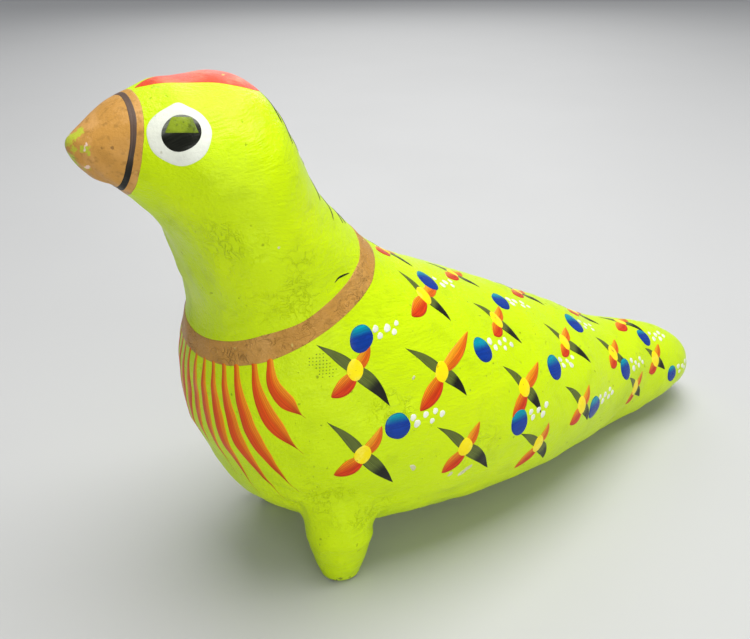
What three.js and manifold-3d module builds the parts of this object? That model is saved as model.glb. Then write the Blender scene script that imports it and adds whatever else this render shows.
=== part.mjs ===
// A hollow clay bird rattle: two press-moulded half shells joined with slip along the
// middle plane, two modelled feet, and loose clay pellets in the chamber.
// Millimetres. +X is the way the bird faces, +Y is its left side, +Z is up.
// The origin is on the ground, under the middle of the bird.
import * as THREE from 'three';
import Module from 'manifold-3d';
import { mergeVertices } from 'three/addons/utils/BufferGeometryUtils.js';

// ---- driving dimensions ----
const LENGTH = 240; // beak tip to tail tip
const WIDTH = 86; // widest place of the body
const HEIGHT = 155; // ground to crown

const WALL = 4.5; // clay wall of both half shells
const SLIP = 1.0; // thickness of the layer of slip that joins the halves
const GAP = 0.3; // clearance between pieces that touch

const FOOT_X = 59.5; // feet, ahead of the origin
const FOOT_SPREAD = 49; // between the middles of the two feet
const FOOT_TIP_RADIUS = 7.5; // peg just above its rounded edge
const FOOT_EDGE = 4; // rounding of the peg's lower edge
const FOOT_TOP_RADIUS = 11.4; // peg inside the belly, before it is cut
const FOOT_TALL = 44; // ground to the hidden top of the uncut peg

const PELLET_MIN = 6.2; // diameters of the smallest and the largest pellet
const PELLET_MAX = 7.8;
const PELLET_PITCH = 9.2; // between the lanes that the pellets rise and fall in
const PELLET_ROWS = [3, 4, 4, 3]; // pellets in each row across the belly
const PELLETS_X = 20; // middle of the heap
const SIZE_STRIDE = 5; // the sizes are dealt out in strides, so that neighbours differ

// ---- outline of the body ----
// Ribs from the beak to the tail. Each is an ellipse across the bird, between a point
// on the keel line and one on the crown line: keel x, keel z, crown x, crown z, half
// width. The first and the last rib are points, where the surface closes.
const OUTLINE_LENGTH = 240;
const OUTLINE_HEIGHT = 155;
const OUTLINE_HALF_WIDTH = 43;
const RIBS = [
  [120, 142, 120, 142, 0], // tip of the beak
  [115, 133.5, 112, 148.5, 8.5], // beak
  [108, 128.5, 103, 152.5, 13], // root of the beak
  [95, 112, 90.5, 154.5, 24.5], // eyes
  [90.5, 96, 70, 151.5, 30], // crown
  [89.5, 86.5, 54, 122, 29.5], // nape
  [91, 79.5, 41, 106, 30], // neck
  [93.5, 66, 30.5, 97, 33.5], // collar
  [91, 47, 16, 88.5, 38.5], // breast
  [79.5, 26, -3.5, 78.5, 42.5], // shoulders
  [52.5, 10, -26.5, 67, 42.5], // belly
  [4, 3.5, -48, 55.5, 37.5], // back
  [-33, 1, -70.5, 43.5, 28.5], // rump
  [-63.5, -0.2, -93, 36.5, 19.5], // root of the tail, rubbed flat where it rests
  [-95, 4, -115.5, 24, 14], // tail
  [-118.5, 6.5, -118.5, 6.5, 0], // tip of the tail
];
const CHAMBER_FROM = 2.7; // ribs between which the body is hollow
const CHAMBER_TO = 14;

// ---- fineness ----
const RIBS_PER_SPAN = 4;
const ROUND = 36;
const CHAMBER_ROUND = 24;
const FOOT_ROUND = 28;
const WELD = 1e-3; // corners closer than this are one corner

const wasm = await Module();
wasm.setup();

/** A rib mirrored through an end point, so the surface runs smoothly over the end. */
function beyond(rib) {
  return [rib[2], rib[3], rib[0], rib[1], -rib[4]];
}

/** The rib at place s along the bird: a Catmull-Rom spline through RIBS, to size. */
function ribAt(s) {
  const last = RIBS.length - 1;
  const i = Math.min(Math.floor(s), last - 1);
  const t = s - i;
  const p0 = i > 0 ? RIBS[i - 1] : beyond(RIBS[1]);
  const p3 = i + 2 <= last ? RIBS[i + 2] : beyond(RIBS[last - 1]);
  const rib = RIBS[i].map((p1, k) => {
    const p2 = RIBS[i + 1][k];
    const bend = 2 * p0[k] - 5 * p1 + 4 * p2 - p3[k];
    const twist = -p0[k] + 3 * p1 - 3 * p2 + p3[k];
    return p1 + 0.5 * t * (p2 - p0[k] + t * (bend + t * twist));
  });
  const along = LENGTH / OUTLINE_LENGTH;
  const up = HEIGHT / OUTLINE_HEIGHT;
  const across = WIDTH / 2 / OUTLINE_HALF_WIDTH;
  return [rib[0] * along, rib[1] * up, rib[2] * along, rib[3] * up, rib[4] * across];
}

/** The points of the rib at s, drawn in by inset. */
function ribPoints(s, inset, round) {
  const [keelX, keelZ, crownX, crownZ, halfWidth] = ribAt(s);
  const middle = new THREE.Vector2((keelX + crownX) / 2, (keelZ + crownZ) / 2);
  const rise = new THREE.Vector2((crownX - keelX) / 2, (crownZ - keelZ) / 2);
  rise.setLength(Math.max(rise.length() - inset, 0));
  const reach = Math.max(halfWidth - inset, 0);
  return Array.from({ length: round }, (_, j) => {
    const turn = (2 * Math.PI * (j + 0.5)) / round;
    const x = middle.x + rise.x * Math.cos(turn);
    const z = middle.y + rise.y * Math.cos(turn);
    return new THREE.Vector3(x, reach * Math.sin(turn), z);
  });
}

/** A closed surface over rings of points, with a point at each end. */
function closedLoft(first, rings, last) {
  const round = rings[0].length;
  const points = [first, ...rings.flat(), last];
  const end = points.length - 1;
  const at = (ring, j) => 1 + ring * round + (j % round);
  const index = [];
  for (let j = 0; j < round; j += 1) {
    index.push(0, at(0, j + 1), at(0, j));
    index.push(end, at(rings.length - 1, j), at(rings.length - 1, j + 1));
    for (let ring = 0; ring < rings.length - 1; ring += 1) {
      index.push(at(ring, j), at(ring, j + 1), at(ring + 1, j + 1));
      index.push(at(ring, j), at(ring + 1, j + 1), at(ring + 1, j));
    }
  }
  const geometry = new THREE.BufferGeometry().setFromPoints(points);
  geometry.setIndex(index);
  return geometry;
}

/** The middle of a ring of points. */
function centre(ring) {
  const sum = ring.reduce((total, point) => total.add(point), new THREE.Vector3());
  return sum.divideScalar(ring.length);
}

/** The whole body as one closed surface, grown by grow all round. */
function bodyGeometry(grow) {
  const last = RIBS.length - 1;
  const rings = [];
  for (let n = 1; n < last * RIBS_PER_SPAN; n += 1) {
    rings.push(ribPoints(n / RIBS_PER_SPAN, -grow, ROUND));
  }
  const [tipX, tipZ] = ribAt(0);
  const [tailX, tailZ] = ribAt(last);
  const tip = new THREE.Vector3(tipX + grow, 0, tipZ);
  const tail = new THREE.Vector3(tailX - grow, 0, tailZ);
  return closedLoft(tip, rings, tail);
}

/** The hollow of the body, a wall's thickness inside its surface. */
function chamberRings(round) {
  const rings = [];
  const steps = Math.round((CHAMBER_TO - CHAMBER_FROM) * RIBS_PER_SPAN);
  for (let n = 0; n <= steps; n += 1) {
    const s = THREE.MathUtils.lerp(CHAMBER_FROM, CHAMBER_TO, n / steps);
    rings.push(ribPoints(s, WALL, round));
  }
  return rings;
}

function chamberGeometry() {
  const rings = chamberRings(CHAMBER_ROUND);
  return closedLoft(centre(rings[0]), rings, centre(rings[rings.length - 1]));
}

/** A geometry's bare shape: shared corners merged, faces with no area dropped. */
function bareShape(geometry) {
  geometry.deleteAttribute('normal');
  geometry.deleteAttribute('uv');
  const merged = mergeVertices(geometry, WELD);
  const corners = Array.from(merged.getIndex().array);
  const index = [];
  for (let n = 0; n < corners.length; n += 3) {
    const [a, b, c] = corners.slice(n, n + 3);
    if (a !== b && b !== c && c !== a) index.push(a, b, c);
  }
  merged.setIndex(index);
  return merged;
}

/** A closed geometry as a manifold solid. */
function toSolid(geometry) {
  const mesh = new wasm.Mesh({
    numProp: 3,
    vertProperties: new Float32Array(geometry.getAttribute('position').array),
    triVerts: new Uint32Array(geometry.getIndex().array),
  });
  return new wasm.Manifold(mesh);
}

/** A manifold solid as a three.js geometry. */
function toGeometry(solid) {
  const mesh = solid.getMesh();
  const geometry = new THREE.BufferGeometry();
  geometry.setAttribute('position', new THREE.BufferAttribute(mesh.vertProperties, 3));
  geometry.setIndex(new THREE.BufferAttribute(mesh.triVerts, 1));
  return geometry;
}

/** A block between two places across the bird, standing on the ground. */
function slab(fromY, toY) {
  const tall = 2 * HEIGHT;
  const box = new THREE.BoxGeometry(2 * LENGTH, toY - fromY, tall);
  box.translate(0, (fromY + toY) / 2, tall / 2);
  return toSolid(bareShape(box));
}

/** The body's clay: its outer surface without the chamber. */
function clayBody() {
  return toSolid(bodyGeometry(0)).subtract(toSolid(chamberGeometry()));
}

function halfShell(clay, side) {
  const seam = SLIP / 2 + GAP;
  const outside = WIDTH;
  const half = side > 0 ? slab(seam, outside) : slab(-outside, -seam);
  return toGeometry(clay.intersect(half));
}

function seamSlip(clay) {
  return toGeometry(clay.intersect(slab(-SLIP / 2, SLIP / 2)));
}

/** A tapered peg with a rounded lower edge and a flat tip, cut to the belly above it. */
function foot(side) {
  const profile = [new THREE.Vector2(0, 0)];
  const edgeSteps = 4;
  for (let n = 0; n <= edgeSteps; n += 1) {
    const turn = (n / edgeSteps) * (Math.PI / 2);
    const out = FOOT_TIP_RADIUS - FOOT_EDGE + FOOT_EDGE * Math.sin(turn);
    profile.push(new THREE.Vector2(out, FOOT_EDGE - FOOT_EDGE * Math.cos(turn)));
  }
  const flareSteps = 5;
  for (let n = 1; n <= flareSteps; n += 1) {
    const t = n / flareSteps;
    const out = THREE.MathUtils.lerp(FOOT_TOP_RADIUS, FOOT_TIP_RADIUS, (1 - t) * (1 - t));
    const up = THREE.MathUtils.lerp(FOOT_EDGE, FOOT_TALL, t);
    profile.push(new THREE.Vector2(out, up));
  }
  profile.push(new THREE.Vector2(0, FOOT_TALL));
  const peg = new THREE.LatheGeometry(profile, FOOT_ROUND);
  peg.rotateX(Math.PI / 2);
  peg.translate(FOOT_X, (side * FOOT_SPREAD) / 2, 0);
  return toGeometry(toSolid(bareShape(peg)).subtract(toSolid(bodyGeometry(GAP))));
}

/** Middles of the lanes that the pellets rise and fall in, in staggered rows. */
function pelletLanes() {
  const between = PELLET_PITCH * Math.sqrt(3) / 2;
  return PELLET_ROWS.flatMap((count, row) => Array.from({ length: count }, (_, n) => {
    const x = PELLETS_X + (row - (PELLET_ROWS.length - 1) / 2) * between;
    const y = (n - (count - 1) / 2) * PELLET_PITCH;
    return new THREE.Vector2(x, y);
  }));
}

/** Height of a pellet's middle where it lies on the floor of the chamber in its lane. */
function lyingHeight(lane, radius, ground) {
  const reach = radius + GAP;
  const heights = ground.map((point) => {
    const away = Math.hypot(point.x - lane.x, point.y - lane.y);
    return away < reach ? point.z + Math.sqrt(reach * reach - away * away) : -Infinity;
  });
  return Math.max(...heights);
}

/** Points of the lower half of the chamber, close together. */
function chamberFloor() {
  const finely = 6;
  const round = CHAMBER_ROUND * finely;
  const rings = chamberRings(round);
  const points = [];
  for (let n = 0; n + 1 < rings.length; n += 1) {
    for (let j = 0; j < round; j += 1) {
      if (rings[n][j].z < centre(rings[n]).z) {
        for (let step = 0; step < finely; step += 1) {
          points.push(rings[n][j].clone().lerp(rings[n + 1][j], step / finely));
        }
      }
    }
  }
  return points;
}

function finish(colour, roughness) {
  return new THREE.MeshStandardMaterial({ color: colour, roughness, metalness: 0 });
}

const group = new THREE.Group();

function add(name, geometry, material) {
  const mesh = new THREE.Mesh(geometry, material);
  mesh.name = name;
  group.add(mesh);
  return mesh;
}

const body = clayBody();
add('shell_left', halfShell(body, 1), finish('#c3e400', 0.4));
add('shell_right', halfShell(body, -1), finish('#c3e400', 0.4));
add('seam_slip', seamSlip(body), finish('#b08a63', 0.8));
add('foot_left', foot(1), finish('#b8d800', 0.45));
add('foot_right', foot(-1), finish('#b8d800', 0.45));

const ground = chamberFloor();
const lanes = pelletLanes();
lanes.forEach((lane, n) => {
  const share = (n * SIZE_STRIDE) % lanes.length / (lanes.length - 1);
  const radius = THREE.MathUtils.lerp(PELLET_MIN, PELLET_MAX, share) / 2;
  const ball = bareShape(new THREE.IcosahedronGeometry(radius, 1));
  const number = String(n + 1).padStart(2, '0');
  const pellet = add(`pellet_${number}`, ball, finish('#a3683f', 0.9));
  pellet.position.set(lane.x, lane.y, lyingHeight(lane, radius, ground));
});

export default group;
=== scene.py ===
import math

import bmesh
import bpy
import numpy as np
from bpy.props import FloatProperty, FloatVectorProperty, IntProperty, PointerProperty
from mathutils import Matrix, Vector


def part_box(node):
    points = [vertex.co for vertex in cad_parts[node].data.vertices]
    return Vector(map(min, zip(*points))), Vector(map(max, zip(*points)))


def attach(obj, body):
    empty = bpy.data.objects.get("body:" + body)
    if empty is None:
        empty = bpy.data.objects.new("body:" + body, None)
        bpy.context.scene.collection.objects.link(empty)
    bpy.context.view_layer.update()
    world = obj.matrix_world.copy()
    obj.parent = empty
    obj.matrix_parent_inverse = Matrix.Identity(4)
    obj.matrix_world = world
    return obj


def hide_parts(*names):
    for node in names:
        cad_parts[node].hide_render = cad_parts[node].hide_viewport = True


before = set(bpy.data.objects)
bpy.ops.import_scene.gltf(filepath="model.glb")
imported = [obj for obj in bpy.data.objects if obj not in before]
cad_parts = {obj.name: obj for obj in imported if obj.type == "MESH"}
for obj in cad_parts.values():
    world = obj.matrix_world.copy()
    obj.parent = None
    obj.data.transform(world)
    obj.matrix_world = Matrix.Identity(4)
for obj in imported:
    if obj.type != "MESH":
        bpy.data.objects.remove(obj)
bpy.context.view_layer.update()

bl_info = {
    "name": "Painted clay bird rattle",
    "version": (1, 0, 0),
    "blender": (4, 5, 0),
    "location": "View3D > Sidebar > Bird Rattle",
    "description": "Fine clay shells, feet, pellets and brush painting around the rattle's frame",
    "category": "Object",
}

MM = 0.001
STEP = 1e-3             # of rib and turn, to measure slopes
TINY = 1e-15            # keeps a division from failing
SUNK = 0.15             # how deep a coat of paint is set into the skin, in millimetres
BODY = "bird"
PELLETS = sorted(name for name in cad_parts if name.startswith("pellet_"))

# The moulded form: ribs from the tip of the beak to the tip of the tail, in millimetres.
# Each is an ellipse across the bird: keel x, keel z, crown x, crown z, half width.
RIBS = MM * np.array([
    (120, 142, 120, 142, 0),          # tip of the beak
    (115, 133.5, 112, 148.5, 8.5),    # beak
    (108, 128.5, 103, 152.5, 13),     # root of the beak
    (95, 112, 90.5, 154.5, 24.5),     # eyes
    (90.5, 96, 70, 151.5, 30),        # crown
    (89.5, 86.5, 54, 122, 29.5),      # nape
    (91, 79.5, 41, 106, 30),          # neck
    (93.5, 66, 30.5, 97, 33.5),       # collar
    (91, 47, 16, 88.5, 38.5),         # breast
    (79.5, 26, -3.5, 78.5, 42.5),     # shoulders
    (52.5, 10, -26.5, 67, 42.5),      # belly
    (4, 3.5, -48, 55.5, 37.5),        # back
    (-33, 1, -70.5, 43.5, 28.5),      # rump
    (-63.5, -0.2, -93, 36.5, 19.5),   # root of the tail
    (-95, 4, -115.5, 24, 14),         # tail
    (-118.5, 6.5, -118.5, 6.5, 0),    # tip of the tail
])
LAST = len(RIBS) - 1
CHAMBER = (2.7, 14.0)                 # ribs between which the bird is hollow
FOOT_AXIS = (59.5 * MM, 24.5 * MM)    # ahead of the origin, and out from the middle


# ---------------------------------------------------------------- the form of the bird

def between(rows, i, t):
    """The point a share t of the way along span i of a Catmull-Rom curve. Span 0 runs from
    row 1 to row 2, because the curve needs a row before it and one after."""
    p0, p1, p2, p3 = (rows[i + k] for k in range(4))
    bend = 2 * p0 - 5 * p1 + 4 * p2 - p3 + t * (3 * p1 - p0 - 3 * p2 + p3)
    return p1 + 0.5 * t * (p2 - p0 + t * bend)


def rib_at(s):
    """Rib s of the bird: a Catmull-Rom spline through RIBS. Past each end the rows run on
    as their own mirror image, so the surface closes in a rounded tip."""
    mirror = np.array([1, 1, 1, 1, -1])
    rows = np.vstack([RIBS[1][[2, 3, 0, 1, 4]] * mirror, RIBS, RIBS[-2][[2, 3, 0, 1, 4]] * mirror])
    i = np.clip(np.floor(s).astype(int), 0, LAST - 1)
    return between(rows, i, (s - i)[..., None])


def form(s, turn, inset=0.0):
    """A point of the moulded form. On rib s it is the middle of the rib, plus the rib's rise
    times the cosine of turn, plus its half width times the sine: turn 0 is the crown line,
    a quarter turn the left side, half a turn the keel. inset draws the rib in."""
    s, turn, inset = np.broadcast_arrays(np.asarray(s, float), np.asarray(turn, float), inset)
    rib = rib_at(s)
    middle = (rib[..., 0:2] + rib[..., 2:4]) / 2
    rise = (rib[..., 2:4] - rib[..., 0:2]) / 2
    length = np.linalg.norm(rise, axis=-1, keepdims=True)
    rise = rise * np.maximum(length - inset[..., None], 0) / np.maximum(length, 1e-9)
    across = np.maximum(rib[..., 4] - inset, 0)
    x = middle[..., 0] + rise[..., 0] * np.cos(turn)
    z = middle[..., 1] + rise[..., 1] * np.cos(turn)
    return np.stack([x, across * np.sin(turn), z], axis=-1)


def outward(s, turn):
    """The outward unit normal of the form at (s, turn), from its two slopes."""
    along = form(s + STEP, turn) - form(s - STEP, turn)
    around = form(s, turn + STEP) - form(s, turn - STEP)
    normal = np.cross(around, along)
    return normal / np.maximum(np.linalg.norm(normal, axis=-1, keepdims=True), TINY)


def waves(points, seed, bands):
    """Smooth unevenness at points: for each (wavelength, height) band, four sine waves in
    random directions, added up."""
    rng = np.random.default_rng(seed)
    total = np.zeros(points.shape[:-1])
    for length, height in bands:
        for _ in range(4):
            direction = rng.normal(size=3)
            direction /= np.linalg.norm(direction)
            phase = rng.uniform(0, 2 * math.pi)
            total += height / 2 * np.sin(2 * math.pi * (points @ direction) / length + phase)
    return total


def smooth_step(value, low, high):
    """0 below low, 1 above high, and a smooth S between."""
    t = np.clip((value - low) / (high - low), 0, 1)
    return t * t * (3 - 2 * t)


# The hand work, in metres: wavelengths and heights of the unevenness all over and on the
# beak, and the middle, reach and height of the brow.
WAVES = ((0.060, 0.0005), (0.028, 0.00026), (0.012, 0.00012), (0.0065, 0.00006))
KNOBS = ((0.0085, 0.0001), (0.0042, 0.00012))
BROW, BROW_REACH, BROW_HEIGHT = MM * np.array([97, 0, 153.5]), 19 * MM, 0.9 * MM
# Creases pressed into the clay: from and to (rib, turn in degrees), width and depth in mm.
CREASES = [
    ((5.15, 128), (5.05, 104), 1.0, 0.22),
    ((5.35, 118), (5.30, 92), 1.1, 0.18),
    ((4.95, 100), (5.00, 82), 0.9, 0.16),
    ((4.75, 150), (4.65, 128), 1.2, 0.25),
    ((5.45, 150), (5.40, 134), 0.9, 0.18),
    ((3.95, 140), (3.80, 120), 1.6, 0.30),
    ((5.55, 84), (5.60, 66), 0.9, 0.20),
    ((8.55, 150), (9.05, 132), 1.3, 0.30),
    ((8.85, 152), (9.35, 138), 1.2, 0.35),
    ((8.30, 138), (8.60, 124), 1.1, 0.18),
    ((9.30, 128), (9.60, 116), 1.4, 0.22),
    ((9.90, 120), (10.4, 112), 1.6, 0.20),
]


def creases(points):
    """Depth of the creases at points: a bell-shaped valley about each crease's line, with
    a low lip on both sides."""
    depth = np.zeros(points.shape[:-1])
    for side in (1, -1):
        for start, end, width, deep in CREASES:
            a, b = (form(np.array(s), np.array(side * math.radians(t))) for s, t in (start, end))
            line = b - a
            share = np.clip((points - a) @ line / (line @ line), 0, 1)
            bow = MM * 1.2 * np.sin(math.pi * share)
            away = np.linalg.norm(points - a - share[..., None] * line, axis=-1) - bow
            away = np.abs(away) / (width * MM)
            fade = 1 - 0.6 * np.abs(2 * share - 1) ** 3
            depth += fade * deep * MM * (np.exp(-away ** 2) - 0.35 * np.exp(-(away - 2) ** 2))
    return depth


def hand_work(points):
    """How far the finished clay stands out from the mould: shallow waves all over, a fuller
    brow, knobbly lumps on the beak, and creases where the clay was pinched."""
    proud = waves(points, 7, WAVES)
    brow = np.linalg.norm(points - BROW, axis=-1) / BROW_REACH
    proud += BROW_HEIGHT * np.exp(-brow ** 2)
    beak = smooth_step(points[..., 0], 0.102, 0.110) * smooth_step(-points[..., 2], -0.147, -0.138)
    proud += beak * waves(points, 21, KNOBS)
    return proud - creases(points)


def skin(s, turn, lift=0.0):
    """The clay surface: the form, moved along its normal by the hand work plus lift. Where
    it would go under the ground it is rubbed flat."""
    points = form(s, turn)
    moved = points + outward(s, turn) * (hand_work(points) + lift)[..., None]
    moved[..., 2] = np.maximum(moved[..., 2], 0)
    return moved


def settle(points, s, turn, rounds=5):
    """(s, turn) of the form's nearest point to each of points: Gauss-Newton steps from a
    first guess."""
    s, turn = (np.array(np.broadcast_to(value, points.shape[:-1]), float) for value in (s, turn))
    for _ in range(rounds):
        miss = points - form(s, turn)
        along = (form(s + STEP, turn) - form(s - STEP, turn)) / (2 * STEP)
        around = (form(s, turn + STEP) - form(s, turn - STEP)) / (2 * STEP)
        aa, bb = (along ** 2).sum(-1), (around ** 2).sum(-1)
        ab = (along * around).sum(-1)
        ma, mb = (miss * along).sum(-1), (miss * around).sum(-1)
        area = np.maximum(aa * bb - ab * ab, 1e-18)
        s += np.clip((ma * bb - mb * ab) / area, -0.5, 0.5)
        turn += np.clip((mb * aa - ma * ab) / area, -0.5, 0.5)
        s = np.clip(s, 0.02, LAST - 0.02)
    return s, turn


def even_ribs(count, start=0.0, end=LAST):
    """count + 1 places between two ribs, the same distance apart over the skin."""
    fine = np.linspace(start, end, 1200)
    lines = [form(fine, np.full_like(fine, turn)) for turn in (0.0, math.pi / 2, math.pi)]
    moves = sum(np.linalg.norm(np.diff(line, axis=0), axis=-1) for line in lines)
    travelled = np.concatenate([[0], np.cumsum(moves)])
    return np.interp(np.linspace(0, travelled[-1], count + 1), travelled, fine)


# ---------------------------------------------------------------- meshes

def make_piece(name, vertices, faces, materials, replaces=(), body=BODY,
               attributes=None, second=None, normals=None, oriented=False):
    """Puts vertices and faces into a smooth object that rides on a CAD body. second marks the
    faces that take the second material, and normals gives the first material's faces their
    shading normals, one for each vertex. Unless the faces are oriented, they are turned out."""
    mesh = bpy.data.meshes.new(name)
    mesh.from_pydata(np.asarray(vertices).tolist(), [], faces)
    for key, values in (attributes or {}).items():
        layer = mesh.attributes.new(key, "FLOAT", "POINT")
        layer.data.foreach_set("value", np.asarray(values, np.float32))
    for material in materials:
        mesh.materials.append(material)
    if second is not None:
        mesh.polygons.foreach_set("material_index", np.asarray(second, np.int32))
    if not oriented:
        shape = bmesh.new()
        shape.from_mesh(mesh)
        bmesh.ops.recalc_face_normals(shape, faces=shape.faces)
        if shape.calc_volume(signed=True) < 0:
            bmesh.ops.reverse_faces(shape, faces=shape.faces)
        shape.to_mesh(mesh)
        shape.free()
    mesh.shade_smooth()
    if normals is not None:
        corners = np.empty(len(mesh.loops), np.int32)
        mesh.loops.foreach_get("vertex_index", corners)
        sides = np.array([face.loop_total for face in mesh.polygons])
        kind = np.array([face.material_index for face in mesh.polygons])
        wanted = np.asarray(normals)[corners] * (np.repeat(kind, sides) == 0)[:, None]
        mesh.normals_split_custom_set(wanted.tolist())
    piece = bpy.data.objects.new(name, mesh)
    bpy.context.scene.collection.objects.link(piece)
    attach(piece, body)
    if replaces:
        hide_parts(*replaces)


def ball_faces(rings, round_):
    """Faces of a closed surface of rings of points with a pole at each end. Points run
    pole, ring by ring, pole."""
    j = np.arange(round_)
    k = (j + 1) % round_
    base = 1
    end = base + rings * round_
    first = np.stack([np.zeros(round_, int), base + k, base + j], -1)
    last = np.stack([np.full(round_, end), end - round_ + j, end - round_ + k], -1)
    low = base + np.arange(rings - 1)[:, None] * round_
    quads = np.stack([low + j, low + k, low + round_ + k, low + round_ + j], -1).reshape(-1, 4)
    return [*first.tolist(), *quads.tolist(), *last.tolist()]


def turned_out(points, faces):
    """Triangles and quads, all turned round if the volume that they close is negative."""
    volume = 0
    for corners in (3, 4):
        p = points[np.array([face for face in faces if len(face) == corners])] - points[0]
        for k in range(1, corners - 1):
            volume += np.einsum("ij,ij->", p[:, 0], np.cross(p[:, k], p[:, k + 1]))
    return faces if volume > 0 else [face[::-1] for face in faces]


def ring_faces(count, loop):
    """Faces of a closed ring: count sections of loop points each, joined end to end."""
    i, j = np.meshgrid(np.arange(count), np.arange(loop), indexing="ij")
    ni, nj = (i + 1) % count, (j + 1) % loop
    corners = [i * loop + j, i * loop + nj, ni * loop + nj, ni * loop + j]
    return np.stack(corners, -1).reshape(-1, 4).tolist()


class Painting:
    """Gathers brush marks, each a closed island of paint on the skin, into one piece. Every
    point keeps how far along the mark it is, how far across, and the mark's own shade."""

    def __init__(self, seed=0):
        """Starts with no marks. The seed is for the shades of those that are given none."""
        self.points, self.faces, self.along, self.across, self.shade = [], [], [], [], []
        self.count = 0
        self.rng = np.random.default_rng(seed)

    def mark(self, path, width, thick, rings, around=14, shade=None, flip=1):
        """Adds a mark. path is rows of (rib, turn) that a Catmull-Rom curve runs through,
        width a function from 0..1 along the path to the half width in metres. The section
        is a low lens: the top bulges by thick millimetres and the bottom is sunk in. flip
        turns the sign of across."""
        u = (1 - np.cos(np.linspace(0, math.pi, rings + 2))) / 2
        centre = spline(np.asarray(path, float), u)
        s, turn = centre[:, 0], centre[:, 1]
        middle = form(s, turn)
        ahead = np.gradient(middle, u, axis=0)
        side = np.cross(outward(s, turn), ahead)
        side /= np.maximum(np.linalg.norm(side, axis=-1, keepdims=True), 1e-12)
        half = np.maximum(width(u[1:-1]), 5e-5)
        angle = 2 * math.pi * (np.arange(around) + 0.5) / around
        v, h = np.cos(angle), np.sin(angle)
        spread = half[:, None] * v[None, :]
        target = middle[1:-1, None] + side[1:-1, None] * spread[..., None]
        ms, mt = settle(target, s[1:-1, None], turn[1:-1, None])
        rise = np.where(h > 0, thick * np.abs(h) ** 0.6, -0.12 * np.abs(h)) * MM
        rise = rise[None, :] * np.minimum(half / 4e-4, 1)[:, None]
        body = skin(ms, mt, rise).reshape(-1, 3)
        ends = skin(s[[0, -1]], turn[[0, -1]], np.zeros(2))
        self.island(np.vstack([ends[:1], body, ends[1:]]), rings, around,
                    np.concatenate([[0], np.repeat(u[1:-1], around), [1]]),
                    flip * np.concatenate([[0], np.tile(v, rings), [0]]),
                    self.rng.uniform() if shade is None else shade)

    def island(self, points, rings, around, along, across, shade):
        """Adds one closed island of rings between two poles, with its numbers."""
        faces = turned_out(points, ball_faces(rings, around))
        self.faces += [[corner + self.count for corner in face] for face in faces]
        self.count += len(points)
        self.points.append(points)
        self.along.append(along)
        self.across.append(across)
        self.shade.append(np.full(len(points), shade))

    def finish(self, name, material):
        """Makes the piece from all the marks."""
        attributes = {
            "along": np.concatenate(self.along),
            "across": np.concatenate(self.across),
            "shade": np.concatenate(self.shade),
        }
        make_piece(name, np.vstack(self.points), self.faces, [material],
                   attributes=attributes, oriented=True)


def spline(rows, u):
    """A Catmull-Rom curve through rows, evenly by row, at u from 0 to 1."""
    padded = np.vstack([2 * rows[0] - rows[1], rows, 2 * rows[-1] - rows[-2]])
    place = np.asarray(u) * (len(rows) - 1)
    i = np.clip(np.floor(place).astype(int), 0, len(rows) - 2)
    return between(padded, i, (place - i)[:, None])


def local_path(place, side, moves):
    """A path drawn from a place on the skin. place is (rib, turn in degrees) on the left
    side; each move is (millimetres tailward, millimetres upward) over the skin there."""
    s, turn = np.array(place[0]), np.array(side * math.radians(place[1]))
    origin, normal = form(s, turn), outward(s, turn)
    tailward = np.array([-1.0, 0, 0]) + normal[0] * normal
    tailward /= np.linalg.norm(tailward)
    upward = np.cross(normal, tailward) * side
    steps = MM * np.asarray(moves, float)
    points = origin + steps[:, :1] * tailward + steps[:, 1:] * upward
    return np.stack(settle(points, s, turn, rounds=8), -1)


def blob(painting, place, side, outline, thick, shade=0.5, lift=0.0, rings=6, around=28):
    """Adds a round island of paint to a painting. outline gives the radius in millimetres at
    an angle over the skin, 0 tailward and a quarter turn up. The top rises as the root of
    1 - radius to the fourth, and the bottom is sunk in the skin."""
    top = np.sin(np.linspace(0, math.pi / 2, rings + 1))[1:]
    low = top[-2::-1]
    angle = 2 * math.pi * np.arange(around) / around
    reach = outline(angle)
    share = np.concatenate([top, low])[:, None] * np.ones(around)
    rise = np.where(np.arange(len(share)) < rings, 1, 0)[:, None] * thick
    rise = rise * np.maximum(1 - share ** 4, 0) ** 0.5
    rise = rise + np.where(np.arange(len(share)) < rings, 0, -SUNK)[:, None] + lift
    rise[rings - 1] = lift * 0.5 - 0.02
    moves = np.stack([share * reach * np.cos(angle), share * reach * np.sin(angle)], -1)
    path = local_path(place, side, moves.reshape(-1, 2))
    rise = MM * rise.reshape(-1)
    pole = local_path(place, side, [(0, 0), (0, 0)])
    poles = skin(pole[:, 0], pole[:, 1], MM * np.array([thick + lift, -SUNK + lift]))
    body = skin(path[:, 0], path[:, 1], rise)
    height = (share * np.sin(angle)).reshape(-1)
    painting.island(np.vstack([poles[:1], body, poles[1:]]), len(share), around,
                    np.concatenate([[0], share.reshape(-1), [0]]),
                    np.concatenate([[0], height, [0]]), shade)


def oval(across, up, wobble=0.06, seed=0, turned=0.0):
    """An oval outline that wavers: two semi-axes in millimetres, and the share it wavers."""
    rng = np.random.default_rng(seed)
    phase = rng.uniform(0, 2 * math.pi, 3)

    def radius(angle):
        """The outline's radius at an angle."""
        a = angle - turned
        round_ = 1 / np.sqrt((np.cos(a) / across) ** 2 + (np.sin(a) / up) ** 2)
        waver = sum(np.sin(n * angle + p) / n for n, p in zip((2, 3, 5), phase))
        return round_ * (1 + wobble * waver)

    return radius


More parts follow.
